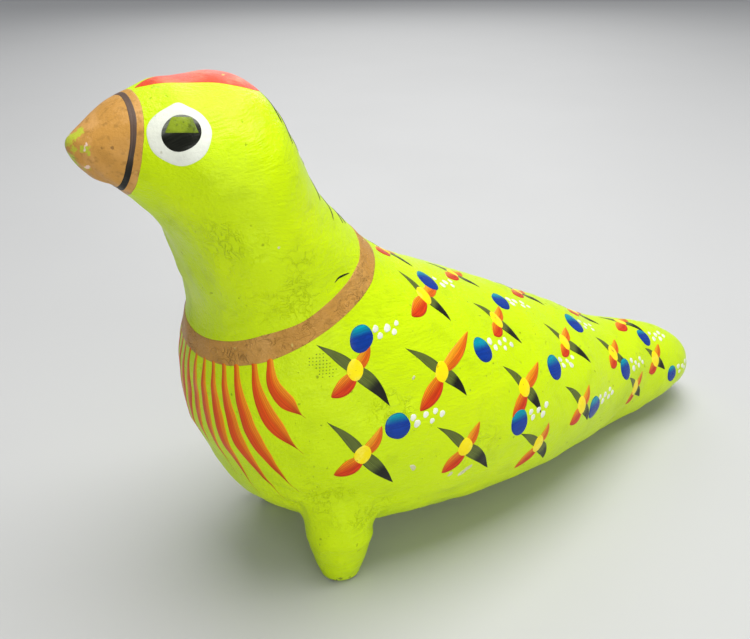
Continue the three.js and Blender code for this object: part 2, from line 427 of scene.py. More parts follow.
def layer(name, front, back, material, thick, count=360, across=20):
    """A band of paint round the bird between two border lines, front and back, each giving
    a rib for a turn. Its section runs over the top, lifted by thick millimetres, and back
    underneath, sunk in the skin."""
    turn = np.linspace(0, 2 * math.pi, count, endpoint=False)[:, None]
    v = np.linspace(0, 1, across)[None, :]
    s = front(turn) * (1 - v) + back(turn) * v
    crest = (1 - np.abs(2 * v - 1) ** 8) ** 0.5
    top = skin(s, turn, MM * (thick * crest - 0.02) + 0 * s)
    under = skin(s[:, ::-1], turn, np.full_like(s, -SUNK * MM))
    under = under[:, 2:-2]
    loop = across + under.shape[1]
    points = np.concatenate([top, under], 1).reshape(-1, 3)
    share = np.concatenate([v[0], v[0, ::-1][2:-2]])
    attributes = {
        "along": np.repeat(turn[:, 0] / (2 * math.pi), loop),
        "across": np.tile(share, count),
        "shade": np.full(count * loop, 0.5),
    }
    make_piece(name, points, ring_faces(count, loop), [material], attributes=attributes)


def border(rows, wobble=0.03, seed=0):
    """A closed border line round the bird. rows are (turn in degrees, rib) on the left side,
    mirrored to the right; the line wavers a little by the wobble."""
    rng = np.random.default_rng(seed)
    phase = rng.uniform(0, 2 * math.pi, 4)
    known = np.array(sorted(rows), float)

    def rib(turn):
        """The border's rib at a turn."""
        degrees = np.abs((np.degrees(turn) + 180) % 360 - 180)
        waver = sum(np.sin(n * turn + p) / n for n, p in zip((3, 7, 13, 29), phase))
        return np.interp(degrees, known[:, 0], known[:, 1]) + wobble * waver

    return rib


# ---------------------------------------------------------------- materials

def node(tree, kind, inputs=None, **settings):
    """Adds a node. inputs maps an input's name or number to a value or to a socket."""
    made = tree.nodes.new(kind)
    for key, value in settings.items():
        setattr(made, key, value)
    for key, value in (inputs or {}).items():
        if isinstance(value, bpy.types.NodeSocket):
            tree.links.new(value, made.inputs[key])
        else:
            made.inputs[key].default_value = value
    return made


def noise(tree, vector, scale, detail=3.0, roughness=0.5, distortion=0.0):
    """The grey of a noise texture."""
    inputs = {"Vector": vector, "Scale": scale, "Detail": detail, "Roughness": roughness,
              "Distortion": distortion}
    return node(tree, "ShaderNodeTexNoise", inputs).outputs["Fac"]


def math_node(tree, operation, a, b=0.0):
    """One sum on two numbers."""
    return node(tree, "ShaderNodeMath", {0: a, 1: b}, operation=operation).outputs[0]


def times(tree, a, b):
    """a times b."""
    return math_node(tree, "MULTIPLY", a, b)


def plus(tree, a, b):
    """a plus b."""
    return math_node(tree, "ADD", a, b)


def minus(tree, a, b):
    """a less b."""
    return math_node(tree, "SUBTRACT", a, b)


def fit(tree, value, low, high, to_low=0.0, to_high=1.0):
    """Stretches a value from one range to another, with a smooth S."""
    inputs = {"Value": value, "From Min": low, "From Max": high, "To Min": to_low, "To Max": to_high}
    return node(tree, "ShaderNodeMapRange", inputs, interpolation_type="SMOOTHSTEP").outputs[0]


def solid(colour):
    """A colour with full alpha, or a socket as it is."""
    return (*colour, 1) if isinstance(colour, tuple) else colour


def blend(tree, share, a, b):
    """Mixes two colours. A colour mix has its colours at inputs 6 and 7, and output 2."""
    inputs = {"Factor": share, 6: solid(a), 7: solid(b)}
    return node(tree, "ShaderNodeMix", inputs, data_type="RGBA").outputs[2]


def attribute(tree, name):
    """A number kept on the piece's points."""
    return node(tree, "ShaderNodeAttribute", attribute_name=name).outputs["Fac"]


def new_group(name, inputs, outputs):
    """A new shader node group with named inputs and outputs, and its two end nodes' sockets."""
    group = bpy.data.node_groups.new(name, "ShaderNodeTree")
    kinds = {"vector": "NodeSocketVector", "colour": "NodeSocketColor", "number": "NodeSocketFloat"}
    for label, kind in inputs:
        group.interface.new_socket(label, in_out="INPUT", socket_type=kinds[kind])
    for label, kind in outputs:
        group.interface.new_socket(label, in_out="OUTPUT", socket_type=kinds[kind])
    return group, group.nodes.new("NodeGroupInput").outputs, group.nodes.new("NodeGroupOutput").inputs


def brushed_paint_group():
    """Brushed paint, made once: fine strokes and a grainy ground. Height goes to a bump, and
    Scratches is a mask of the hairlines and pits where dirt has settled."""
    name = "Brushed paint"
    if name in bpy.data.node_groups:
        return bpy.data.node_groups[name]
    inputs = [("Vector", "vector"), ("Stroke length", "number"), ("Grain", "number")]
    group, given, wanted = new_group(name, inputs, [("Height", "number"), ("Scratches", "number")])
    warp = node(group, "ShaderNodeTexNoise", {"Vector": given["Vector"], "Scale": 22.0, "Detail": 1.0})
    bent = node(group, "ShaderNodeVectorMath", {0: warp.outputs["Color"], 1: (0.02, 0.02, 0.02)},
                operation="MULTIPLY").outputs[0]
    moved = node(group, "ShaderNodeVectorMath", {0: given["Vector"], 1: bent},
                 operation="ADD").outputs[0]
    turned = node(group, "ShaderNodeMapping", {"Vector": moved, "Rotation": (0, 0.55, 0.2),
                                               "Scale": (1, 5, 5)}).outputs[0]
    stroke = noise(group, turned, given["Stroke length"], 3.0, 0.65)
    grain = noise(group, moved, given["Grain"], 4.0, 0.6)
    rough = times(group, grain, 0.5)
    height = plus(group, times(group, stroke, 0.6), rough)
    hairlines = fit(group, stroke, 0.30, 0.22)
    pits = fit(group, noise(group, moved, 520.0, 2.0), 0.31, 0.24)
    patchy = fit(group, noise(group, moved, 45.0, 2.0), 0.46, 0.62)
    marks = math_node(group, "MAXIMUM", hairlines, pits)
    scratches = times(group, marks, patchy)
    dents = minus(group, height, times(group, scratches, 0.35))
    group.links.new(dents, wanted["Height"])
    group.links.new(scratches, wanted["Scratches"])
    return group


def mottled_colour_group():
    """Mottled paint, made once: three tones of a colour in soft patches, and flecks."""
    name = "Mottled colour"
    if name in bpy.data.node_groups:
        return bpy.data.node_groups[name]
    inputs = [("Vector", "vector"), ("Patch scale", "number"), ("Main", "colour"), ("Thin", "colour"),
              ("Thick", "colour"), ("Fleck", "colour"), ("Flecks", "number")]
    group, given, wanted = new_group(name, inputs, [("Colour", "colour")])
    broad = noise(group, given["Vector"], given["Patch scale"], 3.0, 0.55, 0.4)
    finer = noise(group, given["Vector"], times(group, given["Patch scale"], 4.3), 2.0)
    colour = blend(group, fit(group, broad, 0.45, 0.72, 0.0, 0.8), given["Main"], given["Thin"])
    colour = blend(group, fit(group, finer, 0.52, 0.74, 0.0, 0.7), colour, given["Thick"])
    speck = noise(group, given["Vector"], 380.0, 1.0)
    mask = fit(group, plus(group, speck, given["Flecks"]), 0.70, 0.78)
    colour = blend(group, mask, colour, given["Fleck"])
    group.links.new(colour, wanted["Colour"])
    return group


def place_group(tree, group, inputs):
    """Places a node group in a tree with its inputs, and gives its outputs."""
    inputs = {key: solid(value) for key, value in inputs.items()}
    return node(tree, "ShaderNodeGroup", inputs, node_tree=group).outputs


def new_material(name, roughness=0.4, specular=0.2):
    """A material with its tree, its Principled shader and Object coordinates."""
    material = bpy.data.materials.new(name)
    material.use_nodes = True
    tree = material.node_tree
    shader = tree.nodes["Principled BSDF"]
    shader.inputs["Roughness"].default_value = roughness
    shader.inputs["Specular IOR Level"].default_value = specular
    spot = node(tree, "ShaderNodeTexCoord").outputs["Object"]
    return material, tree, shader, spot


def connect(tree, shader, colour, height, strength, distance, roughness):
    """Feeds a colour, a bump and a varying roughness into the shader."""
    tree.links.new(colour, shader.inputs["Base Color"])
    inputs = {"Height": height, "Strength": strength, "Distance": distance}
    bump = node(tree, "ShaderNodeBump", inputs)
    tree.links.new(bump.outputs[0], shader.inputs["Normal"])
    tree.links.new(roughness, shader.inputs["Roughness"])


def darker(colour, share):
    """A colour times a share."""
    return tuple(channel * share for channel in colour)


def mixed(a, b, share):
    """A colour between two, in a fixed share."""
    return tuple(x * (1 - share) + y * share for x, y in zip(a, b))


def brushed_material(name, main, thin, thick, fleck, patch=60.0, flecks=0.0, stroke=260.0,
                     grain=900.0, strength=0.35, roughness=(0.32, 0.5), dirt_and_shade=(0.1, 0.12, 0.02),
                     deep=0.0006, zones=(), scuffed=False):
    """Paint laid on by brush: mottled, with fine strokes, pits and settled dirt. In each
    zone, a middle and a radius in millimetres, the paint has dried in wrinkles, with painted
    shade along their folds. Scuffed paint is worn where it is low enough to touch the ground."""
    material, tree, shader, spot = new_material(name)
    colours = place_group(tree, mottled_colour_group(), {
        "Vector": spot, "Patch scale": patch, "Main": main, "Thin": thin, "Thick": thick,
        "Fleck": fleck, "Flecks": flecks})
    brush = place_group(tree, brushed_paint_group(), {
        "Vector": spot, "Stroke length": stroke, "Grain": grain})
    soiled = times(tree, brush["Scratches"], 0.55)
    colour = blend(tree, soiled, colours["Colour"], dirt_and_shade)
    height = brush["Height"]
    if scuffed:
        low = fit(tree, node(tree, "ShaderNodeSeparateXYZ", {0: spot}).outputs[2], 5.5 * MM, 0.0)
        scuff = plus(tree, noise(tree, spot, 420.0, 3.0, 0.6), times(tree, low, 0.13))
        scuff = fit(tree, scuff, 0.66, 0.72)
        colour = blend(tree, times(tree, scuff, low), colour, (0.07, 0.08, 0.02))
    if zones:
        near = 0.0
        for middle, radius in zones:
            middle = tuple(MM * value for value in middle)
            away = node(tree, "ShaderNodeVectorMath", {0: spot, 1: middle}, operation="DISTANCE")
            reach = fit(tree, away.outputs["Value"], MM * radius, 0.35 * MM * radius)
            near = math_node(tree, "MAXIMUM", near, reach)
        folds = noise(tree, spot, 250.0, 3.0, 0.55, 0.9)
        ridge = math_node(tree, "ABSOLUTE", minus(tree, folds, 0.5))
        ridge = fit(tree, ridge, 0.0, 0.05)
        patches = times(tree, near, fit(tree, noise(tree, spot, 90.0, 2.0), 0.40, 0.62))
        height = plus(tree, height, times(tree, times(tree, ridge, patches), -0.75))
        # Painted shade: the colour is darkened a little along the folds of the wrinkles.
        shadow = times(tree, patches, minus(tree, 1.0, ridge))
        colour = blend(tree, times(tree, shadow, 0.03), colour, dirt_and_shade)
    dull = fit(tree, noise(tree, spot, 90.0, 3.0), 0.3, 0.7, *roughness)
    connect(tree, shader, colour, height, strength, deep, dull)
    return material


def stroke_material(name, colours, roughness=(0.3, 0.45), streak=0.35, strength=0.3):
    """Paint of one brush mark whose colour runs from the root to the tip and from edge to
    edge. colours(tree, along, across, shade) works the colour out from the mark's own
    numbers; streaks of the brush follow the mark."""
    material, tree, shader, spot = new_material(name)
    along, across, shade = (attribute(tree, key) for key in ("along", "across", "shade"))
    colour = colours(tree, along, across, shade)
    brush = place_group(tree, brushed_paint_group(), {
        "Vector": spot, "Stroke length": 420.0, "Grain": 1400.0})
    hair = node(tree, "ShaderNodeCombineXYZ", {0: times(tree, along, 1.5),
                                               1: times(tree, across, 9.0),
                                               2: times(tree, shade, 40.0)})
    streaks = noise(tree, hair.outputs[0], 1.0, 2.0)
    tone = fit(tree, streaks, 0.35, 0.7, 1.0 - streak, 1.0 + 0.3 * streak)
    tinted = node(tree, "ShaderNodeVectorMath", {0: colour, "Scale": tone}, operation="SCALE")
    height = plus(tree, brush["Height"], times(tree, streaks, 0.5))
    dull = fit(tree, noise(tree, spot, 160.0, 2.0), 0.3, 0.7, *roughness)
    connect(tree, shader, tinted.outputs[0], height, strength, 0.0003, dull)
    return material


def bare_clay_material(name, clay, grain=420.0):
    """Dry fired clay: sandy, matt, with pale bloom and dark grit."""
    material, tree, shader, spot = new_material(name, roughness=0.9, specular=0.25)
    colours = place_group(tree, mottled_colour_group(), {
        "Vector": spot, "Patch scale": 85.0, "Main": clay, "Thin": mixed(clay, (0.8, 0.7, 0.6), 0.35),
        "Thick": darker(clay, 0.6), "Fleck": (0.09, 0.06, 0.05), "Flecks": 0.03})
    sand = noise(tree, spot, grain, 5.0, 0.7)
    wiped = noise(tree, spot, 70.0, 2.0)
    height = plus(tree, sand, wiped)
    dull = fit(tree, sand, 0.3, 0.7, 0.8, 0.97)
    connect(tree, shader, colours["Colour"], height, 0.6, 0.0006, dull)
    return material


# ---------------------------------------------------------------- shells, slip, feet, pellets

RIM = 0.5 * MM          # from the middle plane to the joint face of each half
RIM_DEPTH = 0.8 * MM    # how deep the paint bridges the joint
WALL = 4.5 * MM
THUMB = 0.25 * MM       # half the height of the thumb marks on the inner wall
SLIP_DEPTH = 1.2 * MM   # how deep under the skin the slip begins


def chamber(s, turn):
    """The inner wall: the form drawn in by the wall, which the fingers left uneven, and
    scaled down about each rib's middle to close in a rounded dome at both ends."""
    thumb = THUMB * (1 + np.sin(3.1 * s + 2 * turn) * np.cos(2.3 * s - 3 * turn))
    wall = form(s, turn, WALL - thumb)
    rib = rib_at(s + 0 * turn)
    middle = np.stack([(rib[..., 0] + rib[..., 2]) / 2, 0 * rib[..., 0],
                       (rib[..., 1] + rib[..., 3]) / 2], -1)
    place = (s - CHAMBER[0]) / (CHAMBER[1] - CHAMBER[0])
    share = np.sqrt(np.maximum(1 - np.abs(2 * place - 1) ** 8, 0))[..., None]
    return middle + (wall - middle) * share


def half_shell(side, along=400, around=140, inner=30):
    """Vertices, faces, face kinds and shading normals of one half of the bird. The outside
    is the skin from the crown line to the keel line, and the inside is the chamber. A joint
    face joins them, a little off the middle plane, and reaches it under the paint."""
    s = even_ribs(along)
    turn = side * np.linspace(0, math.pi, around + 1)
    gap = turn[1] - turn[0]
    wide = np.concatenate([[turn[0] - gap], turn, [turn[-1] + gap]])
    grid = skin(s[:, None], wide[None, :])
    normal = np.cross(np.gradient(grid, axis=1), np.gradient(grid, axis=0)) * side
    normal /= np.maximum(np.linalg.norm(normal, axis=-1, keepdims=True), TINY)
    normal, grid = normal[:, 1:-1], grid[:, 1:-1]
    grid[:, [0, -1], 1] = 0
    rows = along - 1
    mid = s[1:-1]
    rib = rib_at(mid)
    inset = np.minimum(RIM_DEPTH, 0.3 * rib[:, 4])
    crown, keel = (skin(mid, np.full(rows, edge), -inset) for edge in (0.0, math.pi))
    keel[:, 2] = np.maximum(keel[:, 2], 0.5 * MM)
    for rim in (crown, keel):
        rim[:, 1] = side * np.minimum(RIM, 0.3 * rib[:, 4])
    hollow = np.flatnonzero((mid > CHAMBER[0] + 0.02) & (mid < CHAMBER[1] - 0.02))
    wall = chamber(mid[hollow][:, None], side * np.linspace(0, math.pi, inner + 1)[None, :])
    wall[..., 1] = side * np.maximum(side * wall[..., 1], RIM)
    ends = chamber(np.array(CHAMBER), np.zeros(2))
    ends[:, 1] = side * RIM
    vertices = np.vstack([grid[:1, 0], grid[1:-1].reshape(-1, 3), grid[-1:, 0], crown, keel,
                          wall.reshape(-1, 3), ends])
    n = around + 1
    tail = 1 + rows * n
    crown0 = tail + 1
    keel0 = crown0 + rows
    wall0 = keel0 + rows
    dome = wall0 + len(hollow) * (inner + 1)

    def strips(a, b):
        """Quads between two lines of vertices."""
        return np.stack([a[:-1], a[1:], b[1:], b[:-1]], -1).reshape(-1, 4).tolist()

    skin_at = 1 + np.arange(rows)[:, None] * n + np.arange(n)
    wall_at = wall0 + np.arange(len(hollow))[:, None] * (inner + 1) + np.arange(inner + 1)
    crown_at, keel_at = crown0 + np.arange(rows), keel0 + np.arange(rows)
    outer = []
    quads = np.stack([skin_at[:-1, :-1], skin_at[1:, :-1], skin_at[1:, 1:], skin_at[:-1, 1:]], -1)
    outer += quads.reshape(-1, 4).tolist()
    for pole, line in ((0, skin_at[0]), (tail, skin_at[-1])):
        outer += np.stack([np.full(around, pole), line[:-1], line[1:]], -1).tolist()
    joint = strips(skin_at[:, 0], crown_at) + strips(keel_at, skin_at[:, -1])
    a, b = hollow[0], hollow[-1]
    joint += strips(crown_at[:a], keel_at[:a]) + strips(crown_at[b + 1:], keel_at[b + 1:])
    joint += strips(crown_at[a:b + 1], wall_at[:, 0]) + strips(wall_at[:, -1], keel_at[a:b + 1])
    for pole, row in ((0, 0), (tail, rows - 1)):
        loop = (skin_at[row, 0], crown_at[row], keel_at[row], skin_at[row, -1])
        joint += [(pole, p, q) for p, q in zip(loop[:-1], loop[1:])]
    for pole, edge, near, line in ((dome, a - 1, a, wall_at[0]), (dome + 1, b + 1, b, wall_at[-1])):
        joint += [(crown_at[edge], crown_at[near], line[0], pole),
                  (pole, line[-1], keel_at[near], keel_at[edge]),
                  (crown_at[edge], pole, keel_at[edge])]
        joint += np.stack([np.full(inner, pole), line[:-1], line[1:]], -1).tolist()
    lining = np.stack([wall_at[:-1, :-1], wall_at[1:, :-1], wall_at[1:, 1:], wall_at[:-1, 1:]], -1)
    joint += lining.reshape(-1, 4).tolist()
    shading = np.zeros_like(vertices)
    shading[0], shading[tail] = (1, 0, 0), (-1, 0, 0)
    shading[1:tail] = normal[1:-1].reshape(-1, 3)
    kinds = [0] * len(outer) + [1] * len(joint)
    return vertices, outer + joint, kinds, shading


def slip_seam(count=260):
    """The layer of slip between the halves: a flat band in the middle plane from just under
    the skin to the chamber, with the bead that squeezed out along the inner wall. Beak and
    tail are solid, so there the inner line is drawn together at the ends of the chamber."""
    first, last = 0.12, LAST - 0.12
    s = even_ribs(count, first, last)
    inner_s = np.interp(s, (first, 2.95, 13.75, last), (2.72, 2.95, 13.75, 13.98))
    outer, inner, middle = [], [], []
    for edge in (0.0, math.pi):
        turn = np.full_like(s, edge)
        outer.append(skin(s, turn, -np.minimum(SLIP_DEPTH, 0.4 * rib_at(s)[:, 4])))
        inner.append(chamber(inner_s, turn))
        rib = rib_at(inner_s)
        middle.append(np.stack([(rib[:, 0] + rib[:, 2]) / 2, 0 * s, (rib[:, 1] + rib[:, 3]) / 2], -1))
    outer, inner, middle = (np.vstack([pair[0], pair[1][::-1]]) for pair in (outer, inner, middle))
    outer[:, 2] = np.maximum(outer[:, 2], 0.8 * MM)
    reach = middle - inner
    far = np.maximum(np.linalg.norm(reach, axis=-1, keepdims=True), 1e-6)
    bead = 1.0 + 0.3 * np.sin(np.arange(len(inner)) * 0.9) + 0.2 * np.sin(np.arange(len(inner)) * 0.37)
    bead = bead[:, None] * np.minimum(1, far / (6 * MM))
    section = ((0, 0.42, 0), (1, 0.42, 0), (1, 1.0, 0.05), (1, 1.1, 0.5), (1, 0.6, 0.95))
    loop = []
    for sign, rows in ((1, section), (-1, section[::-1])):
        for share, half, proud in rows:
            point = outer * (1 - share) + (inner + reach / far * bead * proud * MM) * share
            point[:, 1] = sign * MM * np.where(share * proud > 0, half * bead[:, 0], half)
            loop.append(point)
    points = np.stack(loop, 1)
    return points.reshape(-1, 3), ring_faces(len(points), len(loop))


# The pegs the bird stands on: radius and height in millimetres, from the middle of the tip.
PEG = ((4.3, 0.0), (5.7, 0.5), (6.5, 1.9), (7.1, 3.8), (7.7, 5.8), (8.7, 9.4), (9.7, 13.0),
       (10.5, 15.5))
BELLY = (9.6, 144)      # rib and turn in degrees near the feet, where the search starts
FLARE = 14.6 * MM       # from a foot's axis to the edge of the clay smeared on the belly

# How far each foot's tip was pushed over while soft, tailward and inward, in millimetres.
TIP_LEAN = {1: (0.0, 0.0), -1: (3.5, 3.0)}


def foot_surface(side, around=96, rise=24, flare=26):
    """One foot. Rings run from the middle of the tip up a waisted peg. Then a cubic Bezier
    curve at each angle leaves the peg upright and lands on the belly along its slope, where
    the clay was smeared on. The last rings close the foot inside the belly."""
    angle = 2 * math.pi * np.arange(around) / around
    ray = np.stack([np.cos(angle), side * np.sin(angle), 0 * angle], -1)
    axis = np.array([FOOT_AXIS[0], side * FOOT_AXIS[1], 0])
    profile = spline(MM * np.array(PEG), np.linspace(0, 1, rise))
    knob = 1 + 0.03 * np.sin(2 * angle + 0.7) + 0.015 * np.sin(3 * angle + 2)
    peg = axis + profile[:, 0, None, None] * knob[None, :, None] * ray
    peg[..., 2] = profile[:, 1, None]
    touch = axis + FLARE * (1 + 0.04 * np.sin(3 * angle + 1))[:, None] * ray
    touch[:, 2] = 22 * MM
    s, turn = np.full(around, BELLY[0]), np.full(around, side * math.radians(BELLY[1]))
    for _ in range(4):
        s, turn = settle(touch, s, turn)
        landed = form(s, turn)
        touch[:, 2] = landed[:, 2]
    slope = outward(s, turn)
    landing = skin(s, turn, np.full(around, 0.03 * MM))
    inwards = -ray - (-ray * slope).sum(-1, keepdims=True) * slope
    inwards /= np.linalg.norm(inwards, axis=-1, keepdims=True)
    start = peg[-1]
    room = np.maximum(landing[:, 2] - start[:, 2], 1 * MM)[:, None]
    t = np.linspace(0, 1, flare + 1)[1:, None, None]
    up = start + room * 0.7 * np.array([0, 0, 1.0])
    out = landing + inwards * 2.6 * MM
    left = 1 - t
    curve = left ** 3 * start + 3 * t * left ** 2 * up + 3 * t * t * left * out + t ** 3 * landing
    sunk = skin(s, turn, np.full(around, -0.6 * MM)) - 0.2 * MM * inwards
    core = axis + np.array([0, 0, 30 * MM])
    inside = [sunk + (core - sunk) * share for share in (0.3, 0.6, 0.85)]
    rings = np.vstack([peg, curve, sunk[None], np.stack(inside)])
    body = rings.reshape(-1, 3)
    points = np.vstack([axis[None], body + hand_shift(body, axis), core[None]])
    tailward, inward = TIP_LEAN[side]
    lean = MM * np.array([-tailward, -side * inward, 0])
    points = points + (1 - smooth_step(points[:, 2], 3 * MM, 19 * MM))[:, None] * lean
    return points, ball_faces(len(rings), around)


def hand_shift(points, axis):
    """The small unevenness of a foot: it moves points out from the foot's axis, and fades
    at the tip and where the foot meets the belly."""
    away = points - axis
    away[..., 2] = 0
    length = np.maximum(np.linalg.norm(away, axis=-1, keepdims=True), 1e-6)
    share = smooth_step(points[..., 2], 0.5 * MM, 3 * MM)
    share = share * (1 - smooth_step(length[..., 0], 10 * MM, 13 * MM))
    shift = waves(points, 33, ((0.011, 0.00022), (0.006, 0.0001))) * share
    return away / length * shift[..., None]


def pellet_ball(low, high, seed, rings=22, around=32):
    """A pellet rolled between the fingers: a ball whose radius dips by a few sine waves. It
    never stands out of the box it has in the rattle."""
    centre = (Vector(low) + Vector(high)) / 2
    radius = min(h - l for l, h in zip(low, high)) / 2
    polar = np.linspace(0, math.pi, rings + 2)[1:-1, None]
    angle = 2 * math.pi * np.arange(around)[None, :] / around
    ball = np.stack([np.sin(polar) * np.cos(angle), np.sin(polar) * np.sin(angle),
                     np.cos(polar) + 0 * angle], -1).reshape(-1, 3)
    ball = np.vstack([[0, 0, 1], ball, [0, 0, -1]])
    rough = waves(ball, seed, ((1.9, 0.045), (0.8, 0.03), (0.4, 0.015)))
    dip = 0.965 + np.clip(rough, -0.09, 0.035)
    return np.array(centre) + radius * dip[:, None] * ball, ball_faces(rings, around)


# ---------------------------------------------------------------- painting tables

# Flowers: rib and turn in degrees of the middle, then where the petals' tips are from there,
# in millimetres tailward and up: dark up, dark down, red down and red up.
TOP_FLOWERS = tuple((place, (-8.5, 4.5), (8, -7), (-8, -6), (8, 5)) for place in (
    (7.19, 6), (8.76, 5), (10.14, 1), (11.44, 1), (12.48, 6)))
SIDE_FLOWERS = (
    ((7.77, 38), (-5.5, 10), (7.5, -9), (-9.5, -6.8), (11, 7)),
    ((9.21, 34), (-7.5, 7), (7.5, -9), (-5.5, -6), (6.5, 5.5)),
    ((10.54, 37), (-6, 8), (10.5, -9.5), (-5.5, -4.5), (7.5, 5.5)),
    ((11.74, 41), (-6.5, 7), (8, -8), (-5.5, -5), (7, 5)),
    ((13.03, 56), (-5, 6), (6, -6), (-5, -4), (5.5, 4.5)),
    ((7.38, 90), (-9.5, 9.8), (8.6, -13.4), (-8.4, -6), (6, 7)),
    ((8.52, 68), (-11, 10), (7.5, -9.2), (-9.8, -9.6), (16.5, 9.2)),
    ((9.84, 63), (-6.5, 9.2), (6.8, -10), (-7.5, -7.8), (10.7, 6)),
    ((11.0, 74), (-7.4, 10), (5.4, -8.6), (-7.4, -4.4), (7.4, 5)),
    ((12.63, 79), (-6, 7), (5.5, -6.5), (-5.5, -5), (5.5, 5)),
    ((8.57, 110), (-10.3, 12.2), (9.8, -13.4), (-8, -6.5), (6.4, 8)),
    ((9.56, 91), (-9.7, 9.8), (11, -12.5), (-7.9, -7.5), (5.6, 6.4)),
    ((10.59, 92), (-9.5, 8.8), (6.8, -10.6), (-8, -7.4), (4.4, 6.2)),
)
# Petals in the order of the tips: half width and shade, which way across runs, thickness,
# which way the petal bends, and its two powers for leaf.
PETALS = (
    (1.6, 0.0, 1, 0.07, -1, 0.45, 1.1),
    (2.1, 1.0, 1, 0.08, 1, 0.4, 0.95),
    (2.75, 0.0, 1, 0.10, 1, 0.95, 0.78),
    (2.1, 1.0, -1, 0.09, -1, 0.6, 0.9),
)
# Blue dots: rib and turn of the middle.
DOTS = (
    (7.91, 25), (9.41, 20), (10.95, 22), (12.77, 31),
    (7.01, 79), (8.99, 52), (10.29, 52), (12.05, 55), (13.57, 77),
    (8.54, 94), (10.04, 78), (11.37, 78),
)
# White dots beside a blue one: millimetres tailward and up.
SPATTER = ((5.4, 1.6), (6.4, -0.9), (9.2, 0.6), (11.4, -1.2), (13.2, 1.0), (14.9, -0.7))
# Feathers on the left half of the breast: rib and turn at the root, in the middle and at
# the tip, the half width in millimetres and where along it the feather is widest.
FEATHERS = (
    ((6.27, 125), (6.95, 125), (7.63, 118), 2.5, 0.70),
    ((6.30, 134), (7.20, 133.5), (8.15, 127), 2.5, 0.68),
    ((6.26, 145), (7.40, 143.5), (8.74, 140), 2.3, 0.62),
    ((6.25, 153), (7.50, 152), (8.85, 149), 2.15, 0.58),
    ((6.22, 161), (7.45, 160), (8.78, 160), 1.9, 0.55),
    ((6.20, 168.5), (7.30, 168), (8.50, 168), 1.6, 0.5),
    ((6.18, 176), (7.20, 176), (8.20, 176), 1.5, 0.5),
)
# Comb strokes over the nape: rib, and turn of the tips.
NAPE_STROKES = ((4.18, 36), (4.32, 40), (4.47, 34), (4.66, 30), (4.88, 42), (5.18, 38),
                (5.5, 31), (5.62, 26))
# A hair of the brush caught in the paint on each side of the neck: rib and turn along it.
HAIR = ((5.63, 73), (5.64, 69), (5.71, 65), (5.81, 61))
# Half width of the crown stripe from its front end to its rear end, in millimetres.
STRIPE = np.array([(0,), (2.0,), (3.3,), (4.7,), (6.4,), (9.0,), (11.4,), (9.6,), (0,)])
# Middles of the eye's three coats: rib and turn in degrees.
EYE, PUPIL, DAB = (2.60, 61), (2.63, 60), (2.655, 55)
# The print of a cloth: rib and turn of its middle, threads each way, and their distance
# apart in millimetres.
PRINT, THREADS, THREAD_PITCH = (6.92, 101), 9, 0.95
# Dabs at the tail on each side: rib, turn and half width in millimetres.
TAIL_DABS = ((14.25, 120, 1.4), (14.4, 40, 1.1), (13.9, 172, 2.4))
# Chips and smears: rib and turn, then the two half widths in millimetres.
CHIPS = (((9.24, 105), 0.9, 1.3), ((9.89, 102), 3.0, 0.8), ((9.75, 104), 1.2, 0.6),
         ((8.2, 76), 0.6, 0.5), ((12.2, 60), 0.7, 0.5), ((4.3, 96), 0.4, 0.3))
# Border lines of the paint round the bird: turn and rib.
BEAK_EDGE = ((0, 2.13), (30, 2.10), (52, 2.06), (80, 2.01), (116, 2.03), (150, 2.07), (180, 2.09))
RING_FRONT = ((0, 1.80), (56, 1.75), (78, 1.72), (110, 1.68), (140, 1.76), (180, 1.84))
RING_BACK = ((0, 1.97), (51, 1.93), (75, 1.89), (95, 1.86), (135, 1.92), (180, 1.98))
COLLAR_FRONT = ((0, 5.86), (27, 5.89), (49, 5.92), (77, 5.84), (101, 5.79), (127, 5.55),
                (156, 5.52), (180, 5.6))
COLLAR_BACK = ((0, 6.40), (27, 6.41), (52, 6.45), (79, 6.36), (101, 6.33), (123, 6.34),
               (147, 6.30), (180, 6.24))


def leaf(half, fat, point):
    """A petal's half width along it: a power of the way from just short of the root, times a
    power of the way left to the tip, scaled to its widest."""
    root = 0.1
    u = np.linspace(0, 1, 200)
    peak = ((u + root) ** fat * (1 - u) ** point).max()
    return lambda u: half * MM * (u + root) ** fat * (1 - u) ** point / peak


def feather(half, peak):
    """A feather's half width: a blunt root, widest at peak, and a hair-thin tip."""
    def width(u):
        """The half width at u along the feather."""
        body = (0.34 + 0.66 * smooth_step(u, 0.0, peak)) * (1 - smooth_step(u, peak, 0.97)) ** 0.9
        return MM * np.maximum(half * body, 0.16 * (1 - u) ** 0.3)
    return width


def taper(half, blunt=0.5):
    """A stroke's half width, tapering to both ends."""
    return lambda u: half * MM * np.maximum(np.sin(math.pi * u), 0) ** blunt


def paint_flower(dark, red, flower, side, rng):
    """Adds a flower's four petals, which meet under its middle: the dark ones up to the
    front and down to the back, the red ones down to the front and up to the back."""
    for tip, petal, painting in zip(flower[1:], PETALS, (dark, dark, red, red)):
        half, shade, flip, thick, bend, fat, point = petal
        tip = np.array(tip) + rng.uniform(-0.5, 0.5, 2)
        length = np.linalg.norm(tip)
        aside = np.array([-tip[1], tip[0]]) / length * bend * rng.uniform(0.3, 1.0)
        moves = [tip * u + aside * math.sin(math.pi * u) for u in (0.06, 0.35, 0.65, 1)]
        half = half * (0.75 + 0.25 * min(length / 12, 1.3))
        painting.mark(local_path(flower[0], side, moves), leaf(half, fat, point), thick, rings=26,
                      shade=shade, flip=flip * side)


def eye_outline(angle):
    """The white of the eye: nearly round, with a low peak on top."""
    peak = np.exp(-((angle - math.radians(75)) / 0.24) ** 2)
    return 8.05 + 1.3 * peak + 0.1 * np.sin(3 * angle) + 0.08 * np.cos(7 * angle + 1)


